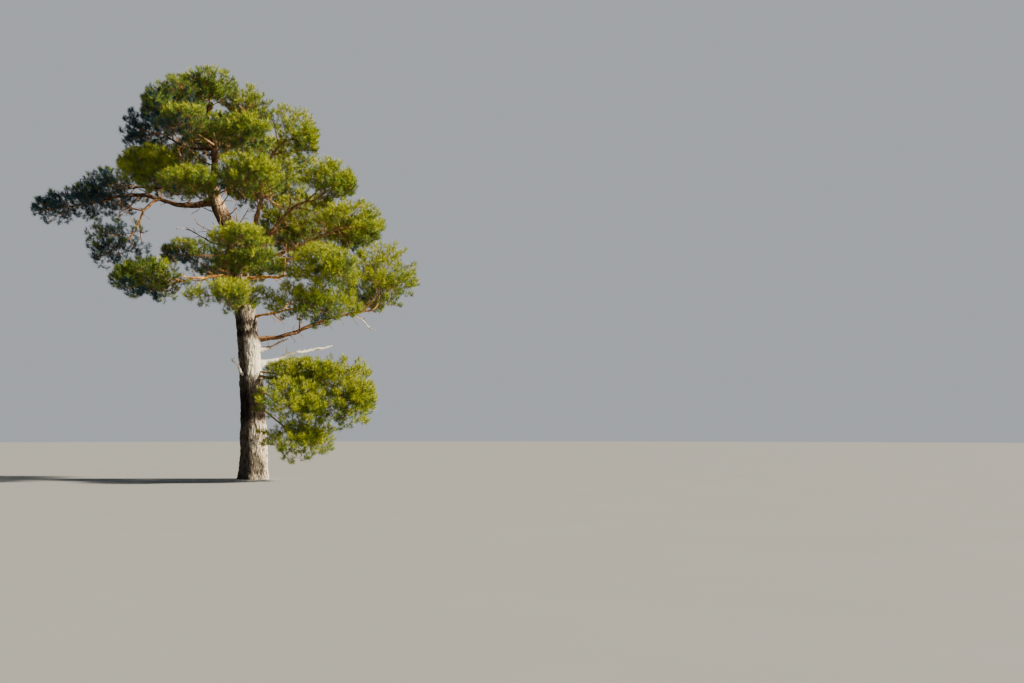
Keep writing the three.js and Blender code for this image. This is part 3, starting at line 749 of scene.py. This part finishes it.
masses = [dict(zip(massColumns, row)) for row in [
    ("needles_far_left", "bough_far_left", 184, 1.11, -0.32, 2.65, 1.8, 1.45, 12, -0.34, 0.26),
    ("needles_left_inner", "bough_left_inner", 171, 0.72, -0.29, 2.85, 2.4, 2.05, 8, -0.26, 0.16),
    ("needles_hanging", "bough_hanging", 205, 0.63, -0.79, 2.25, 1.6, 2.7, 40, -0.22, 0.26),
    ("needles_left_upper", "bough_left_upper", 216, 0.73, -0.14, 2.65, 2.2, 1.75, 2, 0.26, 0),
    ("needles_left_front", "bough_left_front", 294, 1.25, -0.26, 2.4, 2.35, 1.25, 4, -0.04, 0),
    ("needles_shoulder", "bough_shoulder", 138, 0.91, 0.13, 1.8, 2.4, 2.5, 0, -0.5, 0.12),
    ("needles_top_right", "bough_top_right", 80, 0.44, 0.46, 2.4, 2.55, 2.2, 0, -0.06, 0),
    ("needles_right_knob", "bough_right_leader", -29, 0.2, 0.03, 2.35, 2.4, 2.9, 0, 0, 0),
    ("needles_right_upper", "bough_right_upper", -15, 0.4, 0.58, 2.65, 2.4, 2.2, 0, 0, 0),
    ("needles_right_outer", "bough_right_outer", 40, 0.98, 0.41, 3.25, 2.6, 2.35, 4, 0.1, 0),
    ("needles_far_right", "bough_far_right", 66, 0.78, 1.32, 2.6, 3.55, 3.25, 4, 0.1, 0),
    ("needles_right_front", "bough_right_front", 295, 1.35, -0.19, 2.8, 2.8, 2.05, 4, 0, 0),
    ("needles_right_low", "bough_right_low", 282, 1.6, -0.11, 2.4, 3.9, 1.85, 0, 0, 0),
    ("needles_low_left", "bough_low_left", 210, 0.64, -0.03, 3.6, 2.2, 1.65, 2, -0.04, 0),
    ("needles_front_upper", "bough_front_upper", 272, 1.05, 0.04, 2.4, 2.35, 1.05, 2, 0.06, 0),
    ("needles_front_low", "bough_front_low", 266, 1.06, -0.46, 2.6, 3.35, 1.25, 2, 0.12, 0.1),
    ("needles_skirt_outer", "bough_skirt_outer", 323, 1.68, -0.95, 2.65, 2.4, 3.4, 6, 0.06, 0),
    ("needles_back_left", "bough_back_left", 121, 1.32, 1.11, 3.2, 3.05, 2.45, 2, 0, 0),
    ("needles_back_right", "bough_back_right", 94, 1.39, 0.96, 3.2, 3.6, 3.6, 2, 0, 0),
    ("needles_back_low", "bough_back_low", 79, 1.4, 0.58, 3, 3.95, 2.2, 4, 0, 0),
    ("needles_back_right_low", "bough_back_right_low", 91, 1.4, 1.48, 3.2, 4.15, 2.9, 2, 0, 0),
    ("needles_top_left", 13.1, 210, 1.44, 0.44, 2.35, 2.4, 2.15, 0, -0.16, 0),
    ("needles_top_middle", 13.95, 266, 0.08, 0.46, 2.2, 2.45, 2.15, 0, -0.08, 0),
    ("needles_top_back", 13.55, 117, 2.09, 1.33, 2.6, 2.75, 1.6, 0, 0, 0),
    ("needles_front_high", 12.45, 250, 2.57, -0.06, 2.4, 2.2, 1.45, 0, -0.08, 0),
    ("needles_front_right", 11.85, 295, 2.46, 0.39, 2.6, 2.4, 1.6, 0, -0.1, 0),
    ("needles_centre_right", 10.9, 295, 3.06, -0.28, 2.6, 2.7, 1.8, 2, 0, 0),
    ("needles_left_low_inner", 8.35, 187, 1.72, -0.18, 1.95, 2, 1.35, 0, -0.22, 0),
    ("needles_front_middle", 7.85, 279, 2.63, -0.21, 2.4, 2.85, 1.25, 2, -0.06, 0),
    ("needles_skirt_upper", 4, 325, 2.29, -0.27, 3.4, 2.4, 1.4, 0, 0.06, 0),
    ("needles_skirt_middle", 3.35, 304, 3, -0.75, 2.8, 3.7, 2.15, 2, 0.12, 0),
    ("needles_skirt_low", 2.9, 306, 2.7, -1.3, 2.2, 3.6, 2.15, 6, 0.1, 0),
    ("needles_back_high", 12.45, 88, 2.7, 1.16, 2.8, 3.25, 2, 0, 0, 0),
]]

# The rule of the source. Angles are in degrees, and the jitters are the most that a draw adds or takes away.
rule = {
    "firstSeed": 41,
    "seedStep": 97,
    "stemRoot": 0.042,
    "stemTip": 0.022,
    "stemEnd": 0.5,
    "stemSamples": 60,
    "firstTwigDepth": 0.8,
    "samples": 40,
    "lastTwig": 0.98,
    "spacing": 0.25,
    "turn": 137.5,
    "turnJitter": 12,
    "splay": 66,
    "splayAtTip": 14,
    "splayJitter": 6,
    "twigShare": 0.22,
    "longest": 1.5,
    "shortest": 0.25,
    "shares": [0.99, 0.85, 0.7, 0.55, 0.4],
    "apart": 0.03,
}

# How the same rule goes on: branchlets leave each twig and the stem, and shoots leave each branchlet. flat is
# what is left of a branch's slope, so that each twig spreads into a level pad, and lift turns it upwards.
finer = {
    "branchlet": {
        "bare": 0.2, "spacing": 0.078, "splay": 66, "splayAtTip": 26, "splayJitter": 9,
        "flat": 0.55, "lift": 0.10, "rise": 0.14, "sway": 0.08,
        "longest": 0.85, "longestAtTip": 0.34,      # shares of the twig's length, for its first and its last
    },
    "onStem": {
        "bare": 0.12, "spacing": 0.085, "splay": 74, "splayAtTip": 24, "splayJitter": 12,
        "flat": 0.6, "lift": 0.10, "rise": 0.14, "sway": 0.08,
        "longest": 0.8, "longestAtTip": 0.5,        # metres
    },
    "shoot": {
        "bare": 0.22, "spacing": 0.052, "splay": 58, "splayAtTip": 30, "splayJitter": 12,
        "flat": 0.8, "lift": 0.42, "rise": 0.3,
        "longest": 0.17, "longestAtTip": 0.10,      # metres
    },
    "shortestBranchlet": 0.12,
    "sprayLift": 0.3,          # how far a spray turns up from its shoot
    "endMargin": 0.09,         # how far a shoot's tip keeps from the edge of the space
    "shootJitter": 0.25,
    "clearOfLimbs": 0.03,
    "woodStep": 0.1,           # metres between the places on the trunk that shoots are kept clear of
    "woodTop": 14,
    "woodSamples": 60,         # the same along a limb
}

branchSizes = {
    "stem": {"points": 14, "sides": 8},
    "twig": {"points": 8, "sides": 6, "root": 0.019, "tip": 0.007},
    "branchlet": {"points": 3, "sides": 3, "root": 0.0075, "tip": 0.0035},
    "shootRoot": 0.0048,
}


# A branch runs from its root along its way, bends up by its rise and swings to one side by its sway.
class Branch:
    def __init__(self, root, way, rise=0.0, sway=Vector()):
        self.root = root
        self.way = way
        self.length = way.length
        self.rise = up * self.length * rise
        self.sway = sway

    def at(self, share):
        return self.root + self.way * share + self.rise * share ** 2 + self.sway * math.sin(math.pi * share)

    def heading(self, share):
        swing = self.sway * (math.pi * math.cos(math.pi * share))
        return (self.way + self.rise * 2 * share + swing).normalized()


# The space that a mass keeps to, a ball stretched along three axes. Depth is 0 in its middle, 1 at its edge.
class Space:
    def __init__(self, middle, entry):
        forward = pointing(entry["heading"], entry["dip"])
        side = up.cross(forward).normalized()
        self.middle = middle
        self.axes = [forward, side, forward.cross(side)]
        self.halves = [entry[size] / 2 for size in ("length", "width", "height")]
        self.measure = Matrix([axis / half for axis, half in zip(self.axes, self.halves)])

    def depth(self, point):
        return (self.measure @ (point - self.middle)).length

    def wayOut(self, point, direction):
        p, d = self.measure @ (point - self.middle), self.measure @ direction
        a, b, c = d.dot(d), p.dot(d), p.dot(p) - 1
        return (math.sqrt(b * b - a * c) - b) / a if c < 0 else 0


def stemOf(entry):
    limb = limbs.get(entry["from"])
    root = limb["tip"] if limb else trunkMiddle(entry["from"])
    middle = root + pointing(entry["heading"]) * entry["out"] + up * entry["lift"]
    space = Space(middle, entry)
    end = middle + space.axes[0] * space.halves[0] * rule["stemEnd"]
    reach = (end - root).length
    away = limb["line"].heading(1) if limb else (middle - root).normalized()
    controls = [root, root + away * reach / 3, end - space.axes[0] * reach / 3, end]
    places = []
    for t in np.linspace(0, 1, rule["stemSamples"]):
        weights = [(1 - t) ** 3, 3 * t * (1 - t) ** 2, 3 * t * t * (1 - t), t ** 3]
        places.append(sum((control * weight for control, weight in zip(controls, weights)), Vector()))
    thick = limb["radiusAt"](1) if limb else rule["stemRoot"]
    return {"line": Line(places), "space": space, "thick": thick}


def twigsOf(stem, draws):
    line, space = stem["line"], stem["space"]
    shares = [i / rule["samples"] for i in range(rule["samples"])]
    first = next(share for share in shares if space.depth(line.at(share)) < rule["firstTwigDepth"])
    count = round(2 * space.halves[0] / rule["spacing"])
    for k in range(count):
        out = k / (count - 1)
        share = lerp(first, rule["lastTwig"], out)
        turn = k * rule["turn"] + jitter(draws, rule["turnJitter"])
        splay = lerp(rule["splay"], rule["splayAtTip"], out ** 2) + jitter(draws, rule["splayJitter"])
        next(draws)         # the source draws once more here, for the spray
        yield line.at(share), turned(line.heading(share), turn, splay)


# a direction that leans away from forward by splay, after a turn about it
def turned(forward, turn, splay):
    radial = Quaternion(forward, math.radians(turn)) @ up.cross(forward).normalized()
    return Quaternion(forward.cross(radial), math.radians(splay)) @ forward


# the branches of a branch, by the same rule: each is turned about it and leans further forwards than the last
def offshoots(parent, settings, draws):
    clear = 1 - settings["bare"]
    count = max(round(parent.length * clear / settings["spacing"]), 1)
    start = 360 * next(draws)
    for k in range(count):
        out = (k + 0.5) / count
        share = settings["bare"] + clear * out
        turn = start + k * rule["turn"] + jitter(draws, rule["turnJitter"])
        splay = lerp(settings["splay"], settings["splayAtTip"], out ** 2)
        splay += jitter(draws, settings["splayJitter"])
        direction = turned(parent.heading(share), turn, splay)
        direction.z = direction.z * settings["flat"] + settings["lift"]
        yield out, parent.at(share), direction.normalized()


class Crown:
    def __init__(self):
        self.stems = [stemOf(entry) for entry in masses]
        self.measures = np.array([stem["space"].measure for stem in self.stems])
        self.middles = np.array([stem["space"].middle for stem in self.stems])
        self.branches = {"twig": [], "branchlet": [], "shoot": []}
        self.sprays = []
        step, top = finer["woodStep"], finer["woodTop"]
        woody = [(trunkMiddle(height), trunkRadius(height)) for height in np.arange(step, top, step)]
        shares = np.linspace(0, 1, finer["woodSamples"])
        for limb in limbs.values():
            woody += [(limb["line"].at(share), limb["radiusAt"](share)) for share in shares]
        self.woodPlaces = np.array([place for place, radius in woody])
        self.woodRadii = np.array([radius for place, radius in woody])

    def isOwn(self, index, point):
        measured = np.einsum("nij,nj->ni", self.measures, np.array(point) - self.middles)
        depths = np.linalg.norm(measured, axis=1)
        own = depths[index]
        depths[index] = np.inf
        return own < 1 and depths.min() > own + rule["apart"]

    def touchesWood(self, point):
        away = np.linalg.norm(self.woodPlaces - np.array(point), axis=1)
        return bool((away < self.woodRadii + finer["clearOfLimbs"]).any())

    # how far a branch may run from its root before it leaves its space
    def wayFor(self, index, root, direction, most):
        way = min(self.stems[index]["space"].wayOut(root, direction) - finer["endMargin"], most)
        fits = (share for share in rule["shares"] if self.isOwn(index, root + direction * way * share))
        return next(fits, 0) * way

    def growTwig(self, index, root, direction, draws):
        space = self.stems[index]["space"]
        bare = rule["twigShare"] * space.wayOut(root, direction)
        reach = self.wayFor(index, root + direction * bare, direction, rule["longest"])
        if reach < rule["shortest"]:
            return
        twig = Branch(root, direction * (bare + reach))
        self.branches["twig"].append(twig)
        self.addSpray(index, twig, draws)
        self.growBranchlets(index, twig, finer["branchlet"], twig.length, draws)

    # lengths are shares of the scale that is given
    def growBranchlets(self, index, parent, settings, scale, draws):
        for out, start, heading in offshoots(parent, settings, draws):
            most = lerp(settings["longest"], settings["longestAtTip"], out) * scale
            length = self.wayFor(index, start, heading, most)
            if length > finer["shortestBranchlet"]:
                sway = heading.cross(up) * length * jitter(draws, settings["sway"])
                self.growBranchlet(index, Branch(start, heading * length, settings["rise"], sway), draws)

    def growBranchlet(self, index, branchlet, draws):
        self.branches["branchlet"].append(branchlet)
        self.addSpray(index, branchlet, draws)
        settings = finer["shoot"]
        for out, start, heading in offshoots(branchlet, settings, draws):
            length = lerp(settings["longest"], settings["longestAtTip"], out)
            length *= 1 + jitter(draws, finer["shootJitter"])
            shoot = Branch(start, heading * length, settings["rise"])
            tip = shoot.at(1)
            if self.isOwn(index, tip) and not self.touchesWood(tip):
                self.branches["shoot"].append(shoot)
                self.addSpray(index, shoot, draws)

    def addSpray(self, index, branch, draws):
        space = self.stems[index]["space"]
        tip = branch.at(1)
        measured = space.measure @ (tip - space.middle)
        self.sprays.append({
            "place": tip,
            "forward": (branch.heading(1) + up * finer["sprayLift"]).normalized(),
            "roll": 2 * math.pi * next(draws),
            "chance": next(draws),
            "depth": measured.length,
            "above": measured.z,
            "mass": masses[index],
        })

    def grow(self):
        for index, stem in enumerate(self.stems):
            seed = rule["firstSeed"] + rule["seedStep"] * index
            ownDraws, fineDraws = seeded(seed), seeded(seed + 1)
            for root, direction in twigsOf(stem, ownDraws):
                self.growTwig(index, root, direction, fineDraws)
            self.growBranchlets(index, stem["line"], finer["onStem"], 1, fineDraws)


# Meshes from arrays, for what repeats thousands of times

def meshFromTriangles(name, points, triangles):
    mesh = bpy.data.meshes.new(name)
    mesh.vertices.add(len(points))
    mesh.vertices.foreach_set("co", points.astype(np.float32).ravel())
    mesh.loops.add(triangles.size)
    mesh.loops.foreach_set("vertex_index", triangles.astype(np.int32).ravel())
    mesh.polygons.add(len(triangles))
    mesh.polygons.foreach_set("loop_start", np.arange(0, triangles.size, 3, dtype=np.int32))
    mesh.update(calc_edges=True)
    piece = bpy.data.objects.new(name, mesh)
    bpy.context.scene.collection.objects.link(piece)
    return piece


def unit(vectors):
    return vectors / np.linalg.norm(vectors, axis=-1, keepdims=True)


# closed tubes round many lines at once: lines has a row of points for each, and radii a row of numbers
def tubeArrays(lines, radii, sides):
    count, steps = radii.shape
    along = unit(np.gradient(lines, axis=1))
    level = np.abs(along[..., 2:]) < 0.9
    across = unit(np.cross(along, np.where(level, (0.0, 0.0, 1.0), (1.0, 0.0, 0.0))))
    over = np.cross(across, along)
    angles = 2 * np.pi * np.arange(sides) / sides
    ring = across[:, :, None] * np.cos(angles)[:, None] + over[:, :, None] * np.sin(angles)[:, None]
    points = lines[:, :, None] + radii[:, :, None, None] * ring
    side = np.arange(sides)
    after = (side + 1) % sides
    walls = [np.stack([side, side + sides, after, after, side + sides, after + sides], axis=-1) + step * sides
             for step in range(steps - 1)]
    last = (steps - 1) * sides
    fans = [[0, k, k + 1] for k in range(1, sides - 1)]
    fans += [[last, last + k + 1, last + k] for k in range(1, sides - 1)]
    faces = np.concatenate([np.array(walls).reshape(-1, 3), np.array(fans)])
    every = faces[None] + (np.arange(count) * steps * sides)[:, None, None]
    return points.reshape(-1, 3), every.reshape(-1, 3)


def branchArrays(branches, sizes):
    shares = np.linspace(0, 1, sizes["points"])
    lines = np.array([[branch.at(share) for share in shares] for branch in branches])
    radii = np.tile(np.linspace(sizes["root"], sizes["tip"], sizes["points"]), (len(branches), 1))
    return tubeArrays(lines, radii, sizes["sides"])


# a slim three-sided cone for each branch
def coneArrays(branches, radius):
    roots = np.array([branch.at(0) for branch in branches])
    tips = np.array([branch.at(1) for branch in branches])
    along = unit(tips - roots)
    across = unit(np.cross(along, (0.01, 0.0, 1.0)))
    over = np.cross(across, along)
    corners = [roots + radius * (math.cos(turn) * across + math.sin(turn) * over)
               for turn in np.radians([0, 120, 240])]
    points = np.stack(corners + [tips], axis=1)
    faces = np.array([[0, 3, 1], [1, 3, 2], [2, 3, 0], [0, 1, 2]])
    return points.reshape(-1, 3), (faces[None] + 4 * np.arange(len(branches))[:, None, None]).reshape(-1, 3)


def stemArrays(stems, sizes):
    shares = np.linspace(0, 1, sizes["points"])
    lines = np.array([[stem["line"].at(share) for share in shares] for stem in stems])
    radii = np.array([np.linspace(stem["thick"], rule["stemTip"], sizes["points"]) for stem in stems])
    return tubeArrays(lines, radii, sizes["sides"])


def joinArrays(parts):
    points, faces, before = [], [], 0
    for partPoints, partFaces in parts:
        points.append(partPoints)
        faces.append(partFaces + before)
        before += len(partPoints)
    return np.concatenate(points), np.concatenate(faces)


# Twigs

twigLook = {
    "roughness": 0.8,
    "plates": (30, 30, 18),
    "warp": 0.03,
    "warpScale": 8,
    "crack": 0.06,
    "crackColour": (0.12, 0.06, 0.03),
    "fine": 3,
    "fleck": 0.3,
    "blur": 0.5,
    "variety": 0.5,
    "grain": 0.6,
    "bump": 0.006,
    "colours": [(0, (0.40, 0.24, 0.12)), (1, (0.46, 0.25, 0.10))],
}

massNodes = [entry["name"] for entry in masses]


def makeTwigs(crown):
    look = barkMaterial("twigBark", twigLook)
    coarse = [stemArrays(crown.stems, branchSizes["stem"])]
    coarse += [branchArrays(crown.branches[kind], branchSizes[kind]) for kind in ("twig", "branchlet")]
    for name, arrays in [
        ("twigs", joinArrays(coarse)),
        ("shoots", coneArrays(crown.branches["shoot"], branchSizes["shootRoot"])),
    ]:
        piece = meshFromTriangles(name, *arrays)
        finishPiece(piece, look, "bough_bark", massNodes)
        print(name, "made with", len(piece.data.polygons), "faces")


# Bare side limbs and twigs, which leave the boughs and snags by the same rule and carry no needles

bareWood = {
    "sideLimb": {
        "bare": 0.34, "spacing": 0.5, "splay": 54, "splayAtTip": 38, "splayJitter": 16,
        "flat": 0.8, "lift": 0.1, "length": (0.45, 1.15), "rise": (-0.15, 0.45), "sway": 0.22,
    },
    "trunkLimb": {
        "bare": 0, "spacing": 0.19, "splay": 78, "splayAtTip": 60, "splayJitter": 14,
        "flat": 0.8, "lift": 0.05, "length": (0.7, 1.5), "rise": (-0.35, 0.4), "sway": 0.3,
    },
    "twig": {
        "bare": 0.22, "spacing": 0.21, "splay": 62, "splayAtTip": 45, "splayJitter": 20,
        "flat": 1, "lift": -0.05, "length": (0.18, 0.55), "rise": (-0.3, 0.25), "sway": 0.2,
    },
    "twiglet": {
        "bare": 0.25, "spacing": 0.12, "splay": 50, "splayAtTip": 36, "splayJitter": 16,
        "flat": 1, "lift": 0, "length": (0.08, 0.22), "rise": (-0.2, 0.3), "sway": 0.1,
    },
    "stub": {
        "bare": 0.3, "spacing": 0.2, "splay": 55, "splayAtTip": 40, "splayJitter": 18,
        "flat": 1, "lift": 0.1, "length": (0.06, 0.34), "rise": (-0.1, 0.4), "sway": 0.15,
    },
    "sizes": {
        "sideLimb": {"points": 9, "sides": 6, "root": 0.040, "tip": 0.014},
        "trunkLimb": {"points": 9, "sides": 6, "root": 0.030, "tip": 0.010},
        "twig": {"points": 5, "sides": 4, "root": 0.015, "tip": 0.006},
        "twiglet": {"points": 3, "sides": 3, "root": 0.008, "tip": 0.004},
        "stub": {"points": 5, "sides": 5, "root": 0.024, "tip": 0.008},
    },
    "trunkFrom": 8.4,          # trunkLimbs grow between these heights
    "trunkTo": 12.6,
    "trunkStep": 0.1,
    "seed": 977,
}


def bareBranches(parents, kind, draws):
    settings = bareWood[kind]
    found = []
    for parent in parents:
        for out, start, heading in offshoots(parent, settings, draws):
            length = lerp(*settings["length"], next(draws))
            rise = lerp(*settings["rise"], next(draws))
            sway = heading.cross(up) * length * jitter(draws, settings["sway"])
            found.append(Branch(start, heading * length, rise, sway))
    return found


def makeBareWood():
    draws = seeded(bareWood["seed"])
    living = [limbs[entry["name"]]["placed"] for entry in boughs]
    dead = [limbs[entry["name"]]["placed"] for entry in snags]
    heights = np.arange(bareWood["trunkFrom"], bareWood["trunkTo"], bareWood["trunkStep"])
    inCrown = Line([trunkMiddle(height) for height in heights])
    grown = {"sideLimb": bareBranches(living, "sideLimb", draws)}
    grown["trunkLimb"] = bareBranches([inCrown], "trunkLimb", draws)
    grown["twig"] = bareBranches(living + grown["sideLimb"] + grown["trunkLimb"], "twig", draws)
    grown["twiglet"] = bareBranches(grown["twig"], "twiglet", draws)
    grown["stub"] = bareBranches(dead, "stub", draws)
    boughNodes, snagNodes = [[entry["name"] for entry in entries] for entries in (boughs, snags)]
    for name, kinds, look, slot, nodes in [
        ("sideLimbs", ["sideLimb"], "boughBark", "bough_bark", boughNodes),
        ("bareTwigs", ["twig", "twiglet"], "twigBark", "bough_bark", boughNodes),
        ("trunkTwigs", ["trunkLimb"], "shadedBoughBark", "bough_bark", ["trunk"]),
        ("snagStubs", ["stub"], "deadWood", "dead_wood", snagNodes),
    ]:
        arrays = joinArrays([branchArrays(grown[kind], bareWood["sizes"][kind]) for kind in kinds])
        piece = meshFromTriangles(name, *arrays)
        finishPiece(piece, bpy.data.materials[look], slot, nodes)
        print(name, "made with", len(piece.data.polygons), "faces")


# Sprays of needles: pairs of needles, each a slim blade, round the last stretch of a shoot

spray = {
    "pairs": 12,
    "axis": 0.09,          # length of shoot that carries needles
    "ahead": 0.02,         # how far they start beyond the shoot's tip
    "lean": 80,            # degrees between the shoot and its first needles
    "leanAtTip": 22,
    "leanJitter": 8,
    "length": 0.125,
    "lengthJitter": 0.2,
    "fork": 9,             # degrees between the shoot's own direction and each needle of a pair
    "width": 0.0135,
    "kinds": 6,
    "size": (0.85, 1.25),
    "mostInPiece": 8000,
}

# Bright stands for needles in the sun, a painted highlight, and Deep, a dark blue-green, for needles in shade
# and deep inside, painted shade together with their own darker colour
needleShades = {
    "Bright": (0.41, 0.45, 0.036),
    "Fresh": (0.20, 0.285, 0.036),
    "Olive": (0.12, 0.155, 0.036),
    "Deep": (0.028, 0.082, 0.096),
    "Old": (0.24, 0.14, 0.045),
}

# What decides a spray's shade: how much each thing counts, and how light a spray of each shade is at least
shadeRule = {
    "above": 0.34,
    "depth": 0.26,
    "patch": 0.42,
    "patchScale": 1.1,
    "chance": 0.5,
    # painted light and shade: sprays on the sun's side, to the right, are dealt lighter colours and those on
    # the left darker
    "sunward": 0.36,
    "sunwardFrom": -6.0,       # metres to the right of the trunk's foot
    "sunwardTo": 1.5,
    "sunwardMiddle": 0.6,
    "bright": 0.44,
    "fresh": 0.18,
    "olive": -0.04,
    "oliveShare": 0.62,        # the other sprays between olive and fresh are fresh
    "oldShare": 0.2,           # the other sprays below olive are deep
    # painted shade: on the left, away from the sun, the darkest sprays are all deep, none old
    "oldFrom": -3.5,           # and so are all to the left of this
}


def sprayKind(draws):
    needles = []
    for i in range(spray["pairs"]):
        out = i / (spray["pairs"] - 1)
        base = Vector((spray["ahead"] - spray["axis"] * (1 - out), 0, 0))
        lean = math.radians(lerp(spray["lean"], spray["leanAtTip"], out) + jitter(draws, spray["leanJitter"]))
        turn = math.radians(i * rule["turn"])
        for fork in (-1, 1):
            aside = turn + fork * math.radians(spray["fork"]) / math.sin(lean)
            way = Vector((math.cos(lean), math.sin(lean) * math.cos(aside), math.sin(lean) * math.sin(aside)))
            length = spray["length"] * (1 + jitter(draws, spray["lengthJitter"]))
            across = Quaternion(way, math.pi * next(draws)) @ way.orthogonal().normalized()
            half = across * spray["width"] / 2
            needles.append([base - half, base + half, base + way * length])
    return needles


# which colour a spray is dealt: high and outer ones are lighter, partly as fresh growth and partly as painted
# light; those towards the sun, to the right, lighter and those to the left darker, as painted light and shade;
# low and inner ones deep or old, partly as painted shade
def shadeOf(one):
    settings, place, chance = shadeRule, one["place"], one["chance"]
    patch = noise.noise(place * settings["patchScale"])
    sunward = easeBetween(settings["sunwardFrom"], settings["sunwardTo"], place.x) - settings["sunwardMiddle"]
    light = settings["above"] * one["above"] + settings["depth"] * one["depth"] + settings["patch"] * patch
    light += settings["chance"] * (chance - 0.5)
    light += settings["sunward"] * sunward + one["mass"]["light"]
    if light > settings["bright"]:
        return "Bright"
    if light > settings["fresh"]:
        return "Fresh"
    if light > settings["olive"]:
        return "Olive" if chance < settings["oliveShare"] else "Fresh"
    if chance > settings["oldShare"] or place.x < settings["oldFrom"]:
        return "Deep"
    return "Old"


def makeNeedles(crown):
    draws = seeded(rule["firstSeed"])
    kinds = np.array([sprayKind(draws) for kind in range(spray["kinds"])])
    sprays = [one for one in crown.sprays if one["chance"] < 1 - one["mass"]["open"]]
    shades = [shadeOf(one) for one in sprays]
    places = np.array([one["place"] for one in sprays])
    forward = np.array([one["forward"] for one in sprays])
    rolls = np.array([one["roll"] for one in sprays])[:, None]
    chances = np.array([one["chance"] for one in sprays])
    level = unit(np.cross(forward, (0.001, 0.0, 1.0)))
    across = np.cos(rolls) * level + np.sin(rolls) * np.cross(forward, level)
    axes = np.stack([forward, across, np.cross(forward, across)], axis=1)
    axes *= lerp(*spray["size"], chances)[:, None, None]
    picked = kinds[np.arange(len(places)) % len(kinds)]
    corners = np.einsum("snci,sij->sncj", picked, axes) + places[:, None, None]
    for shade, colour in needleShades.items():
        look = needleMaterial("needles" + shade, colour)
        chosen = np.array([i for i, own in enumerate(shades) if own == shade])
        parts = np.array_split(chosen, math.ceil(len(chosen) / spray["mostInPiece"]))
        for number, part in enumerate(parts, 1):
            points = corners[part].reshape(-1, 3)
            triangles = np.arange(len(points)).reshape(-1, 3)
            piece = meshFromTriangles(f"needles{shade}{number}", points, triangles)
            finishPiece(piece, look, "needles", massNodes)
        print("needles", shade, "made from", len(chosen), "sprays")


makeStage()
makeTrunk()
makeLimbs()
crown = Crown()
crown.grow()
for kind, found in crown.branches.items():
    print("grown:", len(found), kind)
print("grown:", len(crown.sprays), "sprays")
makeTwigs(crown)
makeBareWood()
makeNeedles(crown)
